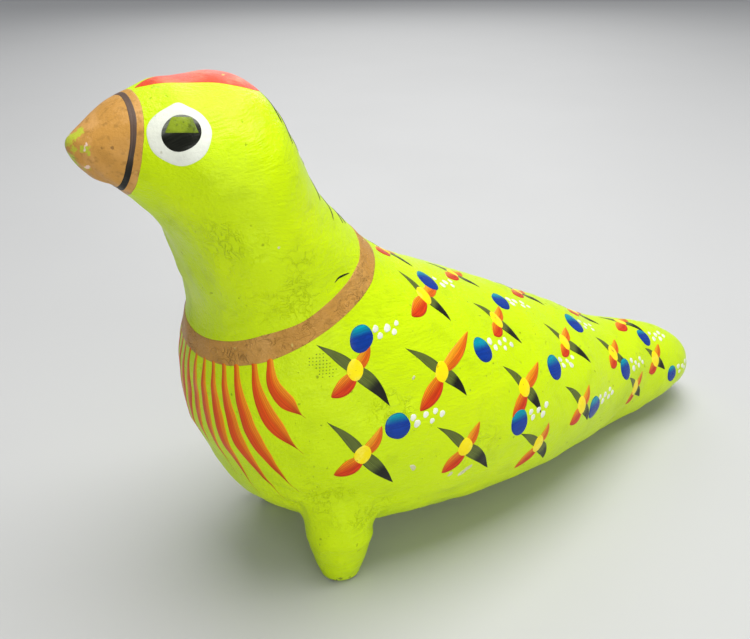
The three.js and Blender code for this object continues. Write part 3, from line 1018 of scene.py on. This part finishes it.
def dab_outline(angle):
    """The green dab in the pupil: straight below, and narrower on top."""
    x, y = np.cos(angle + 0.38), np.sin(angle + 0.38)
    edges = ((-0.93, 0.36, 3.1), (0.9, 0.42, 3.2), (0.0, 1.0, 2.4), (0.0, -1.0, 1.7))
    reach = [far / np.maximum(x * a + y * b, 1e-6) for a, b, far in edges]
    return np.minimum.reduce(reach)


# ---------------------------------------------------------------- sizes and colours

def colour_prop(name, description, default):
    """A colour that the user can change."""
    return FloatVectorProperty(name=name, description=description, subtype="COLOR", size=3,
                               min=0, max=1, default=default)


class RattleSizes(bpy.types.PropertyGroup):
    """Sizes of the painted finish."""
    paint: FloatProperty(name="Paint", description="Thickness of the collar and beak paint",
                         default=0.14 * MM, min=0.02 * MM, unit="LENGTH", precision=5)
    mark: FloatProperty(name="Brush marks", description="Thickness of petals and feathers, as a share",
                        default=1.0, min=0.2, max=3.0, subtype="FACTOR")
    dot: FloatProperty(name="Blue dots", description="Radius of the blue dots",
                       default=4.2 * MM, unit="LENGTH", precision=5)
    floor: FloatProperty(name="Floor", description="Side of the floor", default=24.0, unit="LENGTH")
    seed: IntProperty(name="Seed", description="Seed of the hand painting's unevenness", default=11)


class RattleColours(bpy.types.PropertyGroup):
    """Colours of the paints and the clay."""
    lime: colour_prop("Lime", "Ground colour of the bird", (0.60, 0.82, 0.0))
    ochre: colour_prop("Ochre", "Beak and collar", (0.57, 0.285, 0.058))
    dark: colour_prop("Black", "Dark petals, pupils and comb strokes", (0.012, 0.013, 0.008))
    red: colour_prop("Red", "Red petals and feathers", (0.74, 0.05, 0.004))
    orange: colour_prop("Orange", "Thin red paint at the edges", (0.95, 0.30, 0.004))
    yellow: colour_prop("Yellow", "Middles of the flowers", (0.98, 0.80, 0.0))
    blue: colour_prop("Blue", "Blue dots", (0.004, 0.045, 0.32))
    turquoise: colour_prop("Turquoise", "Upper edge of the blue dots", (0.0, 0.32, 0.40))
    white: colour_prop("White", "Eyes and white dots", (0.80, 0.82, 0.70))
    coral: colour_prop("Coral", "Stripe on the crown", (0.72, 0.06, 0.012))
    clay: colour_prop("Clay", "Bare clay inside", (0.42, 0.19, 0.10))
    floor: colour_prop("Floor", "Pale floor", (0.55, 0.55, 0.54))


# Where the ground coat wrinkled as it dried, with painted shade along the folds: middle and
# radius in millimetres.
WRINKLED = (
    ((75, 30, 103), 17), ((75, -30, 103), 15), ((88, 24, 114), 14), ((96, 12, 116), 12),
    ((72, 29, 37), 15), ((58, 34, 30), 14), ((70, -30, 35), 16), ((50, 40, 62), 10),
    ((20, 42, 40), 12), ((60, 24, 12), 12), ((-60, 20, 18), 14), ((-20, -38, 40), 18),
)


def lime_paint(colours):
    """The lime ground coat, or the one made before."""
    name = "Lime ground coat"
    if name in bpy.data.materials:
        return bpy.data.materials[name]
    lime = tuple(colours.lime)
    # Dirt in the scratches and painted shade along the wrinkles share one darker colour.
    return brushed_material(name, lime, mixed(lime, (0.70, 0.88, 0.0), 0.5), darker(lime, 0.88),
                            darker(lime, 0.5), patch=30.0, flecks=-0.05, stroke=190.0, grain=800.0,
                            strength=0.6, roughness=(0.28, 0.44), dirt_and_shade=(0.13, 0.20, 0.003),
                            deep=0.0009, zones=WRINKLED, scuffed=True)


def black_paint(colours):
    """Glossy black, or the one made before."""
    name = "Black paint"
    if name in bpy.data.materials:
        return bpy.data.materials[name]
    dark = tuple(colours.dark)
    return brushed_material(name, dark, mixed(dark, (0.1, 0.1, 0.05), 0.3), darker(dark, 0.5),
                            (0.08, 0.09, 0.03), roughness=(0.22, 0.4), dirt_and_shade=(0.05, 0.06, 0.02))


# ---------------------------------------------------------------- operators

class PieceOperator(bpy.types.Operator):
    """Makes pieces of the rattle."""
    bl_options = {"UNDO"}

    def execute(self, context):
        """Makes the pieces from the scene's sizes and colours."""
        self.make(context.scene.rattle_sizes, context.scene.rattle_colours)
        return {"FINISHED"}


class RATTLE_OT_shells(PieceOperator):
    """Make the two painted half shells with their bare clay lining."""
    bl_idname = "rattle.shells"
    bl_label = "Half shells"

    def make(self, sizes, colours):
        """Builds both halves, which replace the plain ones."""
        lining = bare_clay_material("Bare clay lining", tuple(colours.clay))
        for side, label in ((1, "left"), (-1, "right")):
            vertices, faces, kinds, normals = half_shell(side)
            make_piece(f"painted_half_{label}", vertices, faces, [lime_paint(colours), lining],
                       replaces=(f"shell_{label}",), second=kinds, normals=normals)


class RATTLE_OT_slip(PieceOperator):
    """Make the layer of slip that joins the halves."""
    bl_idname = "rattle.slip"
    bl_label = "Slip seam"

    def make(self, sizes, colours):
        """Builds the seam and its bead."""
        points, faces = slip_seam()
        slip = bare_clay_material("Slip", mixed(tuple(colours.clay), (0.6, 0.4, 0.28), 0.5), 240.0)
        make_piece("slip_bead", points, faces, [slip], replaces=("seam_slip",))


class RATTLE_OT_feet(PieceOperator):
    """Make the two pegs that the bird stands on."""
    bl_idname = "rattle.feet"
    bl_label = "Feet"

    def make(self, sizes, colours):
        """Builds both feet with their smeared-on roots and worn tips."""
        for side, label in ((1, "left"), (-1, "right")):
            points, faces = foot_surface(side)
            make_piece(f"painted_foot_{label}", points, faces, [lime_paint(colours)],
                       replaces=(f"foot_{label}",))


class RATTLE_OT_pellets(PieceOperator):
    """Make the loose clay pellets."""
    bl_idname = "rattle.pellets"
    bl_label = "Pellets"

    def make(self, sizes, colours):
        """Builds a lumpy ball in the place of each plain one."""
        clay = bare_clay_material("Pellet clay", darker(tuple(colours.clay), 0.9), 520.0)
        for number, name in enumerate(PELLETS):
            points, faces = pellet_ball(*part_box(name), seed=100 + number)
            make_piece(f"rolled_{name}", points, faces, [clay], replaces=(name,),
                       body=name)


class RATTLE_OT_beak(PieceOperator):
    """Make the ochre paint of the beak and the black line round it."""
    bl_idname = "rattle.beak"
    bl_label = "Beak paint"

    def make(self, sizes, colours):
        """Lays a cap of paint over the beak, then the black line."""
        count, rings, first = 220, 90, 0.03
        turn = 2 * math.pi * np.arange(count)[None, :] / count
        edge = border(BEAK_EDGE, 0.02, 5)(turn)
        share = np.linspace(0, 1, rings + 1)[1:, None]
        thick = sizes.paint
        lift = thick * np.sqrt(1 - share ** 24) + 0 * edge
        top = skin(first + (edge - first) * share, turn, lift)
        under = skin(first + (edge - first) * share[-2::-4], turn, np.full_like(turn, -thick))
        tips = skin(np.array([0.004, 0.02]), np.zeros(2), np.array([thick, -thick]))
        points = np.vstack([tips[:1], top.reshape(-1, 3), under.reshape(-1, 3), tips[1:]])
        faces = ball_faces(len(top) + len(under), count)
        make_piece("beak_paint", points, faces, [beak_material(tuple(colours.ochre))])
        dark = tuple(colours.dark)

        def line_shades(tree, along, across, shade):
            """Painted sheen: greyish brown over the crown side, black below."""
            high = math_node(tree, "ABSOLUTE", minus(tree, along, 0.5))
            return blend(tree, fit(tree, high, 0.16, 0.34, 0, 0.85), dark, (0.17, 0.105, 0.075))

        layer("beak_line", border(RING_FRONT, 0.015, 8), border(RING_BACK, 0.015, 9),
              stroke_material("Beak line", line_shades), 0.2, across=14)


def beak_material(ochre):
    """Ochre, thin at the knobs, with lime showing through and pale chips at the worn tip."""
    material, tree, shader, spot = new_material("Beak ochre")
    tones = place_group(tree, mottled_colour_group(), {
        "Vector": spot, "Patch scale": 140.0, "Main": ochre, "Flecks": -0.04,
        "Thin": mixed(ochre, (0.75, 0.42, 0.16), 0.6), "Thick": darker(ochre, 0.66),
        "Fleck": (0.60, 0.44, 0.10)})
    brush = place_group(tree, brushed_paint_group(), {
        "Vector": spot, "Stroke length": 330.0, "Grain": 900.0})
    split = node(tree, "ShaderNodeSeparateXYZ", {0: spot})
    tip = fit(tree, split.outputs[0], 0.113, 0.120)
    worn = noise(tree, spot, 260.0, 3.0, 0.6)
    lime = fit(tree, plus(tree, worn, times(tree, tip, 0.34)), 0.72, 0.80)
    pale = fit(tree, plus(tree, noise(tree, spot, 330.0, 2.0),
                               times(tree, tip, 0.10)), 0.735, 0.77)
    colour = blend(tree, lime, tones["Colour"], (0.50, 0.55, 0.04))
    colour = blend(tree, pale, colour, (0.82, 0.60, 0.48))
    colour = blend(tree, times(tree, brush["Scratches"], 0.6), colour, (0.12, 0.06, 0.02))
    connect(tree, shader, colour, brush["Height"], 0.5, 0.0006,
            fit(tree, noise(tree, spot, 120.0, 3.0), 0.3, 0.7, 0.34, 0.55))
    return material


class RATTLE_OT_eyes(PieceOperator):
    """Make the eyes: white, pupil and the green dab in it."""
    bl_idname = "rattle.eyes"
    bl_label = "Eyes"

    def make(self, sizes, colours):
        """Lays the three coats of each eye one on another."""
        white = tuple(colours.white)
        coat = brushed_material("Eye white", white, mixed(white, (0.9, 0.9, 0.6), 0.3),
                                darker(white, 0.88), (0.5, 0.5, 0.35), roughness=(0.3, 0.45),
                                dirt_and_shade=(0.45, 0.45, 0.3))
        green = brushed_material("Green dab", (0.15, 0.21, 0.01), (0.30, 0.40, 0.02),
                                 (0.05, 0.07, 0.01), (0.02, 0.02, 0.01), patch=220.0,
                                 roughness=(0.25, 0.4))
        dark = tuple(colours.dark)

        def pupil_shades(tree, along, across, shade):
            """Painted sheen: grey at the top, black below."""
            # The painted sheen's mask, strongest towards the upper edge.
            thin = times(tree, fit(tree, across, 0.0, 0.5), fit(tree, along, 0.2, 0.6))
            return blend(tree, thin, dark, (0.17, 0.18, 0.15))

        pupil_paint = stroke_material("Pupil black", pupil_shades, (0.2, 0.35), 0.4)
        for side, label in ((1, "left"), (-1, "right")):
            eye, pupil, dab = Painting(), Painting(), Painting()
            blob(eye, EYE, side, eye_outline, 0.28, rings=14, around=72)
            blob(pupil, PUPIL, side, oval(5.0, 4.6, 0.03, 4), 0.30, lift=0.24, rings=10, around=56)
            blob(dab, DAB, side, dab_outline, 0.10, lift=0.50, rings=8, around=60)
            eye.finish(f"eye_white_{label}", coat)
            pupil.finish(f"pupil_{label}", pupil_paint)
            dab.finish(f"eye_dab_{label}", green)


class RATTLE_OT_crown(PieceOperator):
    """Make the coral stripe on the crown and the black comb strokes on the nape."""
    bl_idname = "rattle.crown"
    bl_label = "Crown and nape"

    def make(self, sizes, colours):
        """Paints the stripe, the comb and one loose hair of the brush."""
        coral = tuple(colours.coral)
        stripe = Painting()
        stripe.mark([(rib, 0) for rib in np.linspace(2.2, 4.25, len(STRIPE))],
                    lambda u: MM * spline(STRIPE, u)[:, 0], 0.10, rings=90, around=56)
        stripe.finish("crown_stripe", brushed_material(
            "Coral stripe", coral, mixed(coral, (0.95, 0.42, 0.22), 0.6), darker(coral, 0.75),
            (0.8, 0.45, 0.05), patch=110.0, stroke=380.0, roughness=(0.3, 0.46),
            dirt_and_shade=(0.3, 0.05, 0.01)))
        comb = Painting()
        rng = np.random.default_rng(sizes.seed)
        for rib, tip in NAPE_STROKES:
            tip = math.radians(tip)
            path = [(rib - 0.02, tip * rng.uniform(0.94, 1.06)), (rib - 0.09, 0.45 * tip),
                    (rib - 0.10, 0), (rib - 0.09, -0.45 * tip), (rib - 0.02, -tip)]
            comb.mark(path, taper(0.75, 0.35), 0.11, rings=40, around=12)
        for side in (1, -1):
            path = [(rib, side * math.radians(turn)) for rib, turn in HAIR]
            comb.mark(path, taper(0.28), 0.12, rings=24, around=10)
        comb.finish("nape_comb", black_paint(colours))


class RATTLE_OT_collar(PieceOperator):
    """Make the ochre collar round the neck."""
    bl_idname = "rattle.collar"
    bl_label = "Collar"

    def make(self, sizes, colours):
        """Lays the band between two wavering borders."""
        ochre = tuple(colours.ochre)
        # The one zone takes in the whole band: wrinkles with painted shade along their folds.
        paint = brushed_material(
            "Collar ochre", ochre, mixed(ochre, (0.72, 0.42, 0.14), 0.5), darker(ochre, 0.72),
            (0.72, 0.56, 0.16), patch=70.0, flecks=-0.01, stroke=330.0, grain=620.0, strength=0.8,
            roughness=(0.30, 0.46), dirt_and_shade=(0.20, 0.09, 0.02), deep=0.0009,
            zones=(((90, 0, 70), 90),))
        layer("collar_band", border(COLLAR_FRONT, 0.02, 3), border(COLLAR_BACK, 0.02, 4), paint,
              sizes.paint / MM, count=480, across=40)


def red_shades(colours, tip, edge):
    """The colour of red paint along a mark: orange where it is thin, at the root and one
    edge, red in the body, and darker at the tip."""
    orange, red = tuple(colours.orange), tuple(colours.red)

    def shades(tree, along, across, shade):
        """The colour, worked out from the mark's own numbers."""
        side = plus(tree, across, times(tree, along, edge))
        body = fit(tree, side, -0.7, 0.75)
        colour = blend(tree, body, orange, red)
        colour = blend(tree, times(tree, shade, 0.4), colour, orange)
        colour = blend(tree, fit(tree, along, 0.72, 0.98, 0, tip), colour, darker(red, 0.35))
        return blend(tree, times(tree, shade, fit(tree, across, 0.2, -0.6, 0, 0.7)),
                     colour, mixed(orange, (1, 0.65, 0.02), 0.4))

    return shades


class RATTLE_OT_feathers(PieceOperator):
    """Make the red feathers on the breast."""
    bl_idname = "rattle.feathers"
    bl_label = "Breast feathers"

    def make(self, sizes, colours):
        """Paints the feathers below the collar, on both halves."""
        feathers = Painting(sizes.seed)
        for side in (1, -1):
            for root, middle, tip, half, peak in FEATHERS:
                path = [(rib, side * math.radians(turn)) for rib, turn in (root, middle, tip)]
                feathers.mark(path, feather(half, peak), 0.10 * sizes.mark, rings=60, around=18,
                              flip=-side, shade=0.35)
        feathers.finish("breast_feathers", stroke_material(
            "Feather red", red_shades(colours, 0.75, 1.1), streak=0.25))


class RATTLE_OT_flowers(PieceOperator):
    """Make the flowers: dark petals, red petals and yellow middles."""
    bl_idname = "rattle.flowers"
    bl_label = "Flowers"

    def make(self, sizes, colours):
        """Paints every flower's petals and middle."""
        rng = np.random.default_rng(sizes.seed)
        dark, red, middles = (Painting(sizes.seed + k) for k in range(3))
        flowers = [(1, flower) for flower in TOP_FLOWERS]
        flowers += [(side, flower) for side in (1, -1) for flower in SIDE_FLOWERS]
        for number, (side, flower) in enumerate(flowers):
            paint_flower(dark, red, flower, side, rng)
            size = 0.82 if number < len(TOP_FLOWERS) else 1.0
            outline = oval(2.6 * size, 3.25 * size, 0.05, number, rng.uniform(-0.5, 0.5))
            blob(middles, flower[0], side, outline, 0.18, rng.uniform())
        black, olive = tuple(colours.dark), (0.13, 0.17, 0.03)

        def dark_shades(tree, along, across, shade):
            """Olive where the black is thin, black towards the tip and along the edges."""
            depth = times(tree, shade, fit(tree, along, 0.28, 0.55))
            rim = fit(tree, math_node(tree, "ABSOLUTE", across), 0.75, 1.0, 0, 0.5)
            tip = fit(tree, along, 0.7, 1.0, 0, 0.6)
            share = math_node(tree, "MAXIMUM", math_node(tree, "MAXIMUM", depth, rim), tip)
            return blend(tree, share, olive, black)

        dark.finish("dark_petals", stroke_material("Petal black", dark_shades, (0.25, 0.4)))
        red.finish("red_petals", stroke_material("Petal red", red_shades(colours, 0.2, 0.8)))
        yellow = tuple(colours.yellow)
        middles.finish("flower_middles", brushed_material(
            "Yellow middles", yellow, mixed(yellow, (1, 0.95, 0.2), 0.4),
            mixed(yellow, (0.8, 0.5, 0), 0.25), (0.5, 0.25, 0.02), patch=230.0, flecks=-0.03,
            stroke=500.0, roughness=(0.28, 0.42), dirt_and_shade=(0.45, 0.22, 0.0)))


class RATTLE_OT_dots(PieceOperator):
    """Make the blue dots and the white spatter beside them."""
    bl_idname = "rattle.dots"
    bl_label = "Dots"

    def make(self, sizes, colours):
        """Presses on the blue dots with a stick's end, then the white ones with a finer one."""
        rng = np.random.default_rng(sizes.seed + 5)
        blues, whites = Painting(), Painting()
        radius = sizes.dot / MM
        for side in (1, -1):
            for number, place in enumerate(DOTS):
                size = radius * rng.uniform(0.86, 1.06) * (0.8 if place[0] > 12.5 else 1)
                outline = oval(size * 0.96, size * 1.04, 0.06, 40 + number, rng.uniform(-1, 1))
                blob(blues, place, side, outline, 0.22, rng.uniform(), rings=9, around=40)
                for tailward, up in SPATTER[:5 + number % 2]:
                    move = (tailward + rng.uniform(-0.5, 0.5), up + rng.uniform(-0.4, 0.4))
                    spot = local_path(place, side, [move, move])[0]
                    spot = (spot[0], side * math.degrees(spot[1]))
                    if spot[0] > 14.4:
                        continue
                    small = rng.uniform(0.75, 1.15)
                    blob(whites, spot, side, oval(small * 1.15, small, 0.2, number), 0.13,
                         rng.uniform(), rings=4, around=14)
        blue, turquoise = tuple(colours.blue), tuple(colours.turquoise)

        def blue_shades(tree, along, across, shade):
            """Turquoise at the upper edge and deep blue below, darker at the rim."""
            high = plus(tree, across, times(tree, shade, 0.3))
            colour = blend(tree, fit(tree, high, 0.25, 0.95), blue, turquoise)
            return blend(tree, fit(tree, along, 0.88, 1.0, 0, 0.5), colour, darker(blue, 0.4))

        blues.finish("blue_dots", stroke_material("Dot blue", blue_shades, (0.2, 0.34), 0.2))
        white = tuple(colours.white)
        whites.finish("white_dots", brushed_material(
            "Dot white", white, mixed(white, (1, 1, 0.8), 0.4), darker(white, 0.8), (0.6, 0.62, 0.4),
            roughness=(0.3, 0.45), dirt_and_shade=(0.5, 0.52, 0.3)))


class RATTLE_OT_wear(PieceOperator):
    """Make the small marks of use: chips, a smear, the print of a cloth and tail dabs."""
    bl_idname = "rattle.wear"
    bl_label = "Marks of use"

    def make(self, sizes, colours):
        """Lays small flakes of each kind on the paint."""
        rng = np.random.default_rng(sizes.seed + 9)
        pale, cloth, dabs = Painting(), Painting(), Painting()
        for place, across, up in CHIPS:
            outline = oval(across, up, 0.3, int(10 * place[0]), 0.5)
            blob(pale, place, 1, outline, 0.09, rings=4, around=20)
        blob(pale, (10.6, 75), -1, oval(1.3, 0.8, 0.3, 3, 1.0), 0.09, rings=4, around=20)
        for row in range(THREADS):
            for column in range(THREADS):
                x = THREAD_PITCH * column - 4.2 + 0.15 * row
                y = THREAD_PITCH * row - 4 - 0.1 * column
                if abs(x) / 4.4 + abs(y + 0.5 * x) / 5.2 > rng.uniform(0.75, 1.15):
                    continue
                spot = local_path(PRINT, 1, [(x, y), (x, y)])[0]
                blob(cloth, (spot[0], math.degrees(spot[1])), 1, oval(0.24, 0.2, 0.2, row), 0.03,
                     rings=2, around=8)
        for side in (1, -1):
            for rib, turn, size in TAIL_DABS:
                blob(dabs, (rib, turn), side, oval(size, 0.7 * size, 0.3, int(turn)), 0.07,
                     rings=4, around=20)
        pale.finish("chips", brushed_material(
            "Chipped ground", (0.62, 0.62, 0.36), (0.8, 0.78, 0.6), (0.45, 0.5, 0.1), (0.3, 0.2, 0.1),
            patch=400.0, roughness=(0.6, 0.8)))
        cloth.finish("cloth_print", brushed_material(
            "Cloth print", (0.20, 0.28, 0.01), (0.3, 0.42, 0.0), (0.12, 0.18, 0.01), (0.1, 0.1, 0.02),
            roughness=(0.5, 0.7)))
        dabs.finish("tail_dabs", brushed_material(
            "Tail dabs", (0.80, 0.30, 0.06), (0.85, 0.5, 0.1), (0.7, 0.15, 0.03), (0.4, 0.4, 0.05),
            patch=200.0, roughness=(0.4, 0.6)))


# Lights: name, place, what they face, side of the square in metres, and power in watts.
LIGHTS = (
    ("Overhead", (-0.12, 0.0, 0.95), (0.0, 0.0, 0.05), 0.8, 10.0),
    ("Front", (0.35, 1.0, 0.32), (0.0, 0.0, 0.05), 0.8, 5.6),
    ("Behind", (-0.5, -0.8, 0.5), (0.0, 0.0, 0.07), 0.6, 2.5),
)
# The camera: what it looks at, how far away it is, its angles in degrees and its lens in
# millimetres. Around is from the bird's left side towards its head.
AIM, AWAY = (0.0296, 0.0, 0.0702), 0.32606
AROUND, ABOVE, ROLL = 33.24, 25.44, -0.55
LENS = 48.93


class RATTLE_OT_stage(bpy.types.Operator):
    """Make the floor, the lights and the camera."""
    bl_idname = "rattle.stage"
    bl_label = "Stage"

    def execute(self, context):
        """Sets a pale floor, soft lights and the camera."""
        sizes, colours = context.scene.rattle_sizes, context.scene.rattle_colours
        make_floor(sizes.floor, tuple(colours.floor))
        for light in LIGHTS:
            soft_light(*light)
        world = bpy.data.worlds.new("Studio")
        world.use_nodes = True
        sky = world.node_tree.nodes["Background"].inputs
        sky["Color"].default_value = (0.9, 0.93, 1.0, 1)
        sky["Strength"].default_value = 0.30
        context.scene.world = world
        context.scene.camera = make_camera()
        context.scene.view_settings.view_transform = "Standard"
        return {"FINISHED"}


def make_floor(side, colour, count=60):
    """A flat square sheet over the ground, as a grid of count by count points."""
    line = np.linspace(-side / 2, side / 2, count)
    x, y = np.meshgrid(line, line, indexing="ij")
    top = np.stack([x, y, 0 * x], -1).reshape(-1, 3)
    index = np.arange(count * count).reshape(count, count)
    faces = np.stack([index[:-1, :-1], index[1:, :-1], index[1:, 1:], index[:-1, 1:]], -1)
    mesh = bpy.data.meshes.new("floor")
    mesh.from_pydata(top.tolist(), [], faces.reshape(-1, 4).tolist())
    material, tree, shader, spot = new_material("Pale floor", roughness=0.6, specular=0.3)
    cloud = noise(tree, spot, 3.0, 3.0)
    tone = blend(tree, fit(tree, cloud, 0.35, 0.7), colour, darker(colour, 0.96))
    grain = noise(tree, spot, 700.0, 3.0)
    connect(tree, shader, tone, grain, 0.05, 0.0003, fit(tree, cloud, 0.3, 0.7, 0.5, 0.62))
    mesh.materials.append(material)
    floor = bpy.data.objects.new("floor", mesh)
    bpy.context.scene.collection.objects.link(floor)


def soft_light(name, place, target, size, power):
    """A square soft light that faces a target."""
    lamp = bpy.data.lights.new(name, "AREA")
    lamp.size = size
    lamp.energy = power
    light = bpy.data.objects.new(name, lamp)
    light.location = place
    light.rotation_euler = (Vector(target) - Vector(place)).to_track_quat("-Z", "Y").to_euler()
    bpy.context.scene.collection.objects.link(light)


def make_camera():
    """The camera looks down at the bird's left side from a little ahead of it."""
    around, above, roll = (math.radians(angle) for angle in (AROUND, ABOVE, ROLL))
    level = math.cos(above)
    back = Vector((math.sin(around) * level, math.cos(around) * level, math.sin(above)))
    right = Vector((-math.cos(around), math.sin(around), 0))
    up = back.cross(right)
    cos, sin = math.cos(roll), math.sin(roll)
    right, up = right * cos + up * sin, up * cos - right * sin
    lens = bpy.data.cameras.new("Camera")
    lens.lens = LENS
    lens.clip_start = 0.01
    camera = bpy.data.objects.new("Camera", lens)
    turn = Matrix((right, up, back)).transposed()
    camera.matrix_world = Matrix.Translation(Vector(AIM) + back * AWAY) @ turn.to_4x4()
    bpy.context.scene.collection.objects.link(camera)
    return camera


OPERATORS = (
    RATTLE_OT_shells, RATTLE_OT_slip, RATTLE_OT_feet, RATTLE_OT_pellets, RATTLE_OT_beak,
    RATTLE_OT_eyes, RATTLE_OT_crown, RATTLE_OT_collar, RATTLE_OT_feathers, RATTLE_OT_flowers,
    RATTLE_OT_dots, RATTLE_OT_wear, RATTLE_OT_stage,
)


class RATTLE_PT_panel(bpy.types.Panel):
    """Sizes, colours and pieces of the rattle in the sidebar."""
    bl_label = "Bird Rattle"
    bl_idname = "RATTLE_PT_panel"
    bl_space_type = "VIEW_3D"
    bl_region_type = "UI"
    bl_category = "Bird Rattle"

    def draw(self, context):
        """Lists the sizes and colours, then a button for each piece."""
        for group in (context.scene.rattle_sizes, context.scene.rattle_colours):
            box = self.layout.box()
            for name in group.__annotations__:
                box.prop(group, name)
        for operator in OPERATORS:
            self.layout.operator(operator.bl_idname)


CLASSES = (RattleSizes, RattleColours, *OPERATORS, RATTLE_PT_panel)


def register():
    """Adds the classes, and the sizes and colours to the scene."""
    for cls in CLASSES:
        bpy.utils.register_class(cls)
    bpy.types.Scene.rattle_sizes = PointerProperty(type=RattleSizes)
    bpy.types.Scene.rattle_colours = PointerProperty(type=RattleColours)


def unregister():
    """Takes them away again."""
    del bpy.types.Scene.rattle_sizes
    del bpy.types.Scene.rattle_colours
    for cls in reversed(CLASSES):
        bpy.utils.unregister_class(cls)


def main():
    """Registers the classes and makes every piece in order."""
    register()
    for operator in OPERATORS:
        group, name = operator.bl_idname.split(".")
        getattr(getattr(bpy.ops, group), name)()
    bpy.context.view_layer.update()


if __name__ == "__main__":
    main()
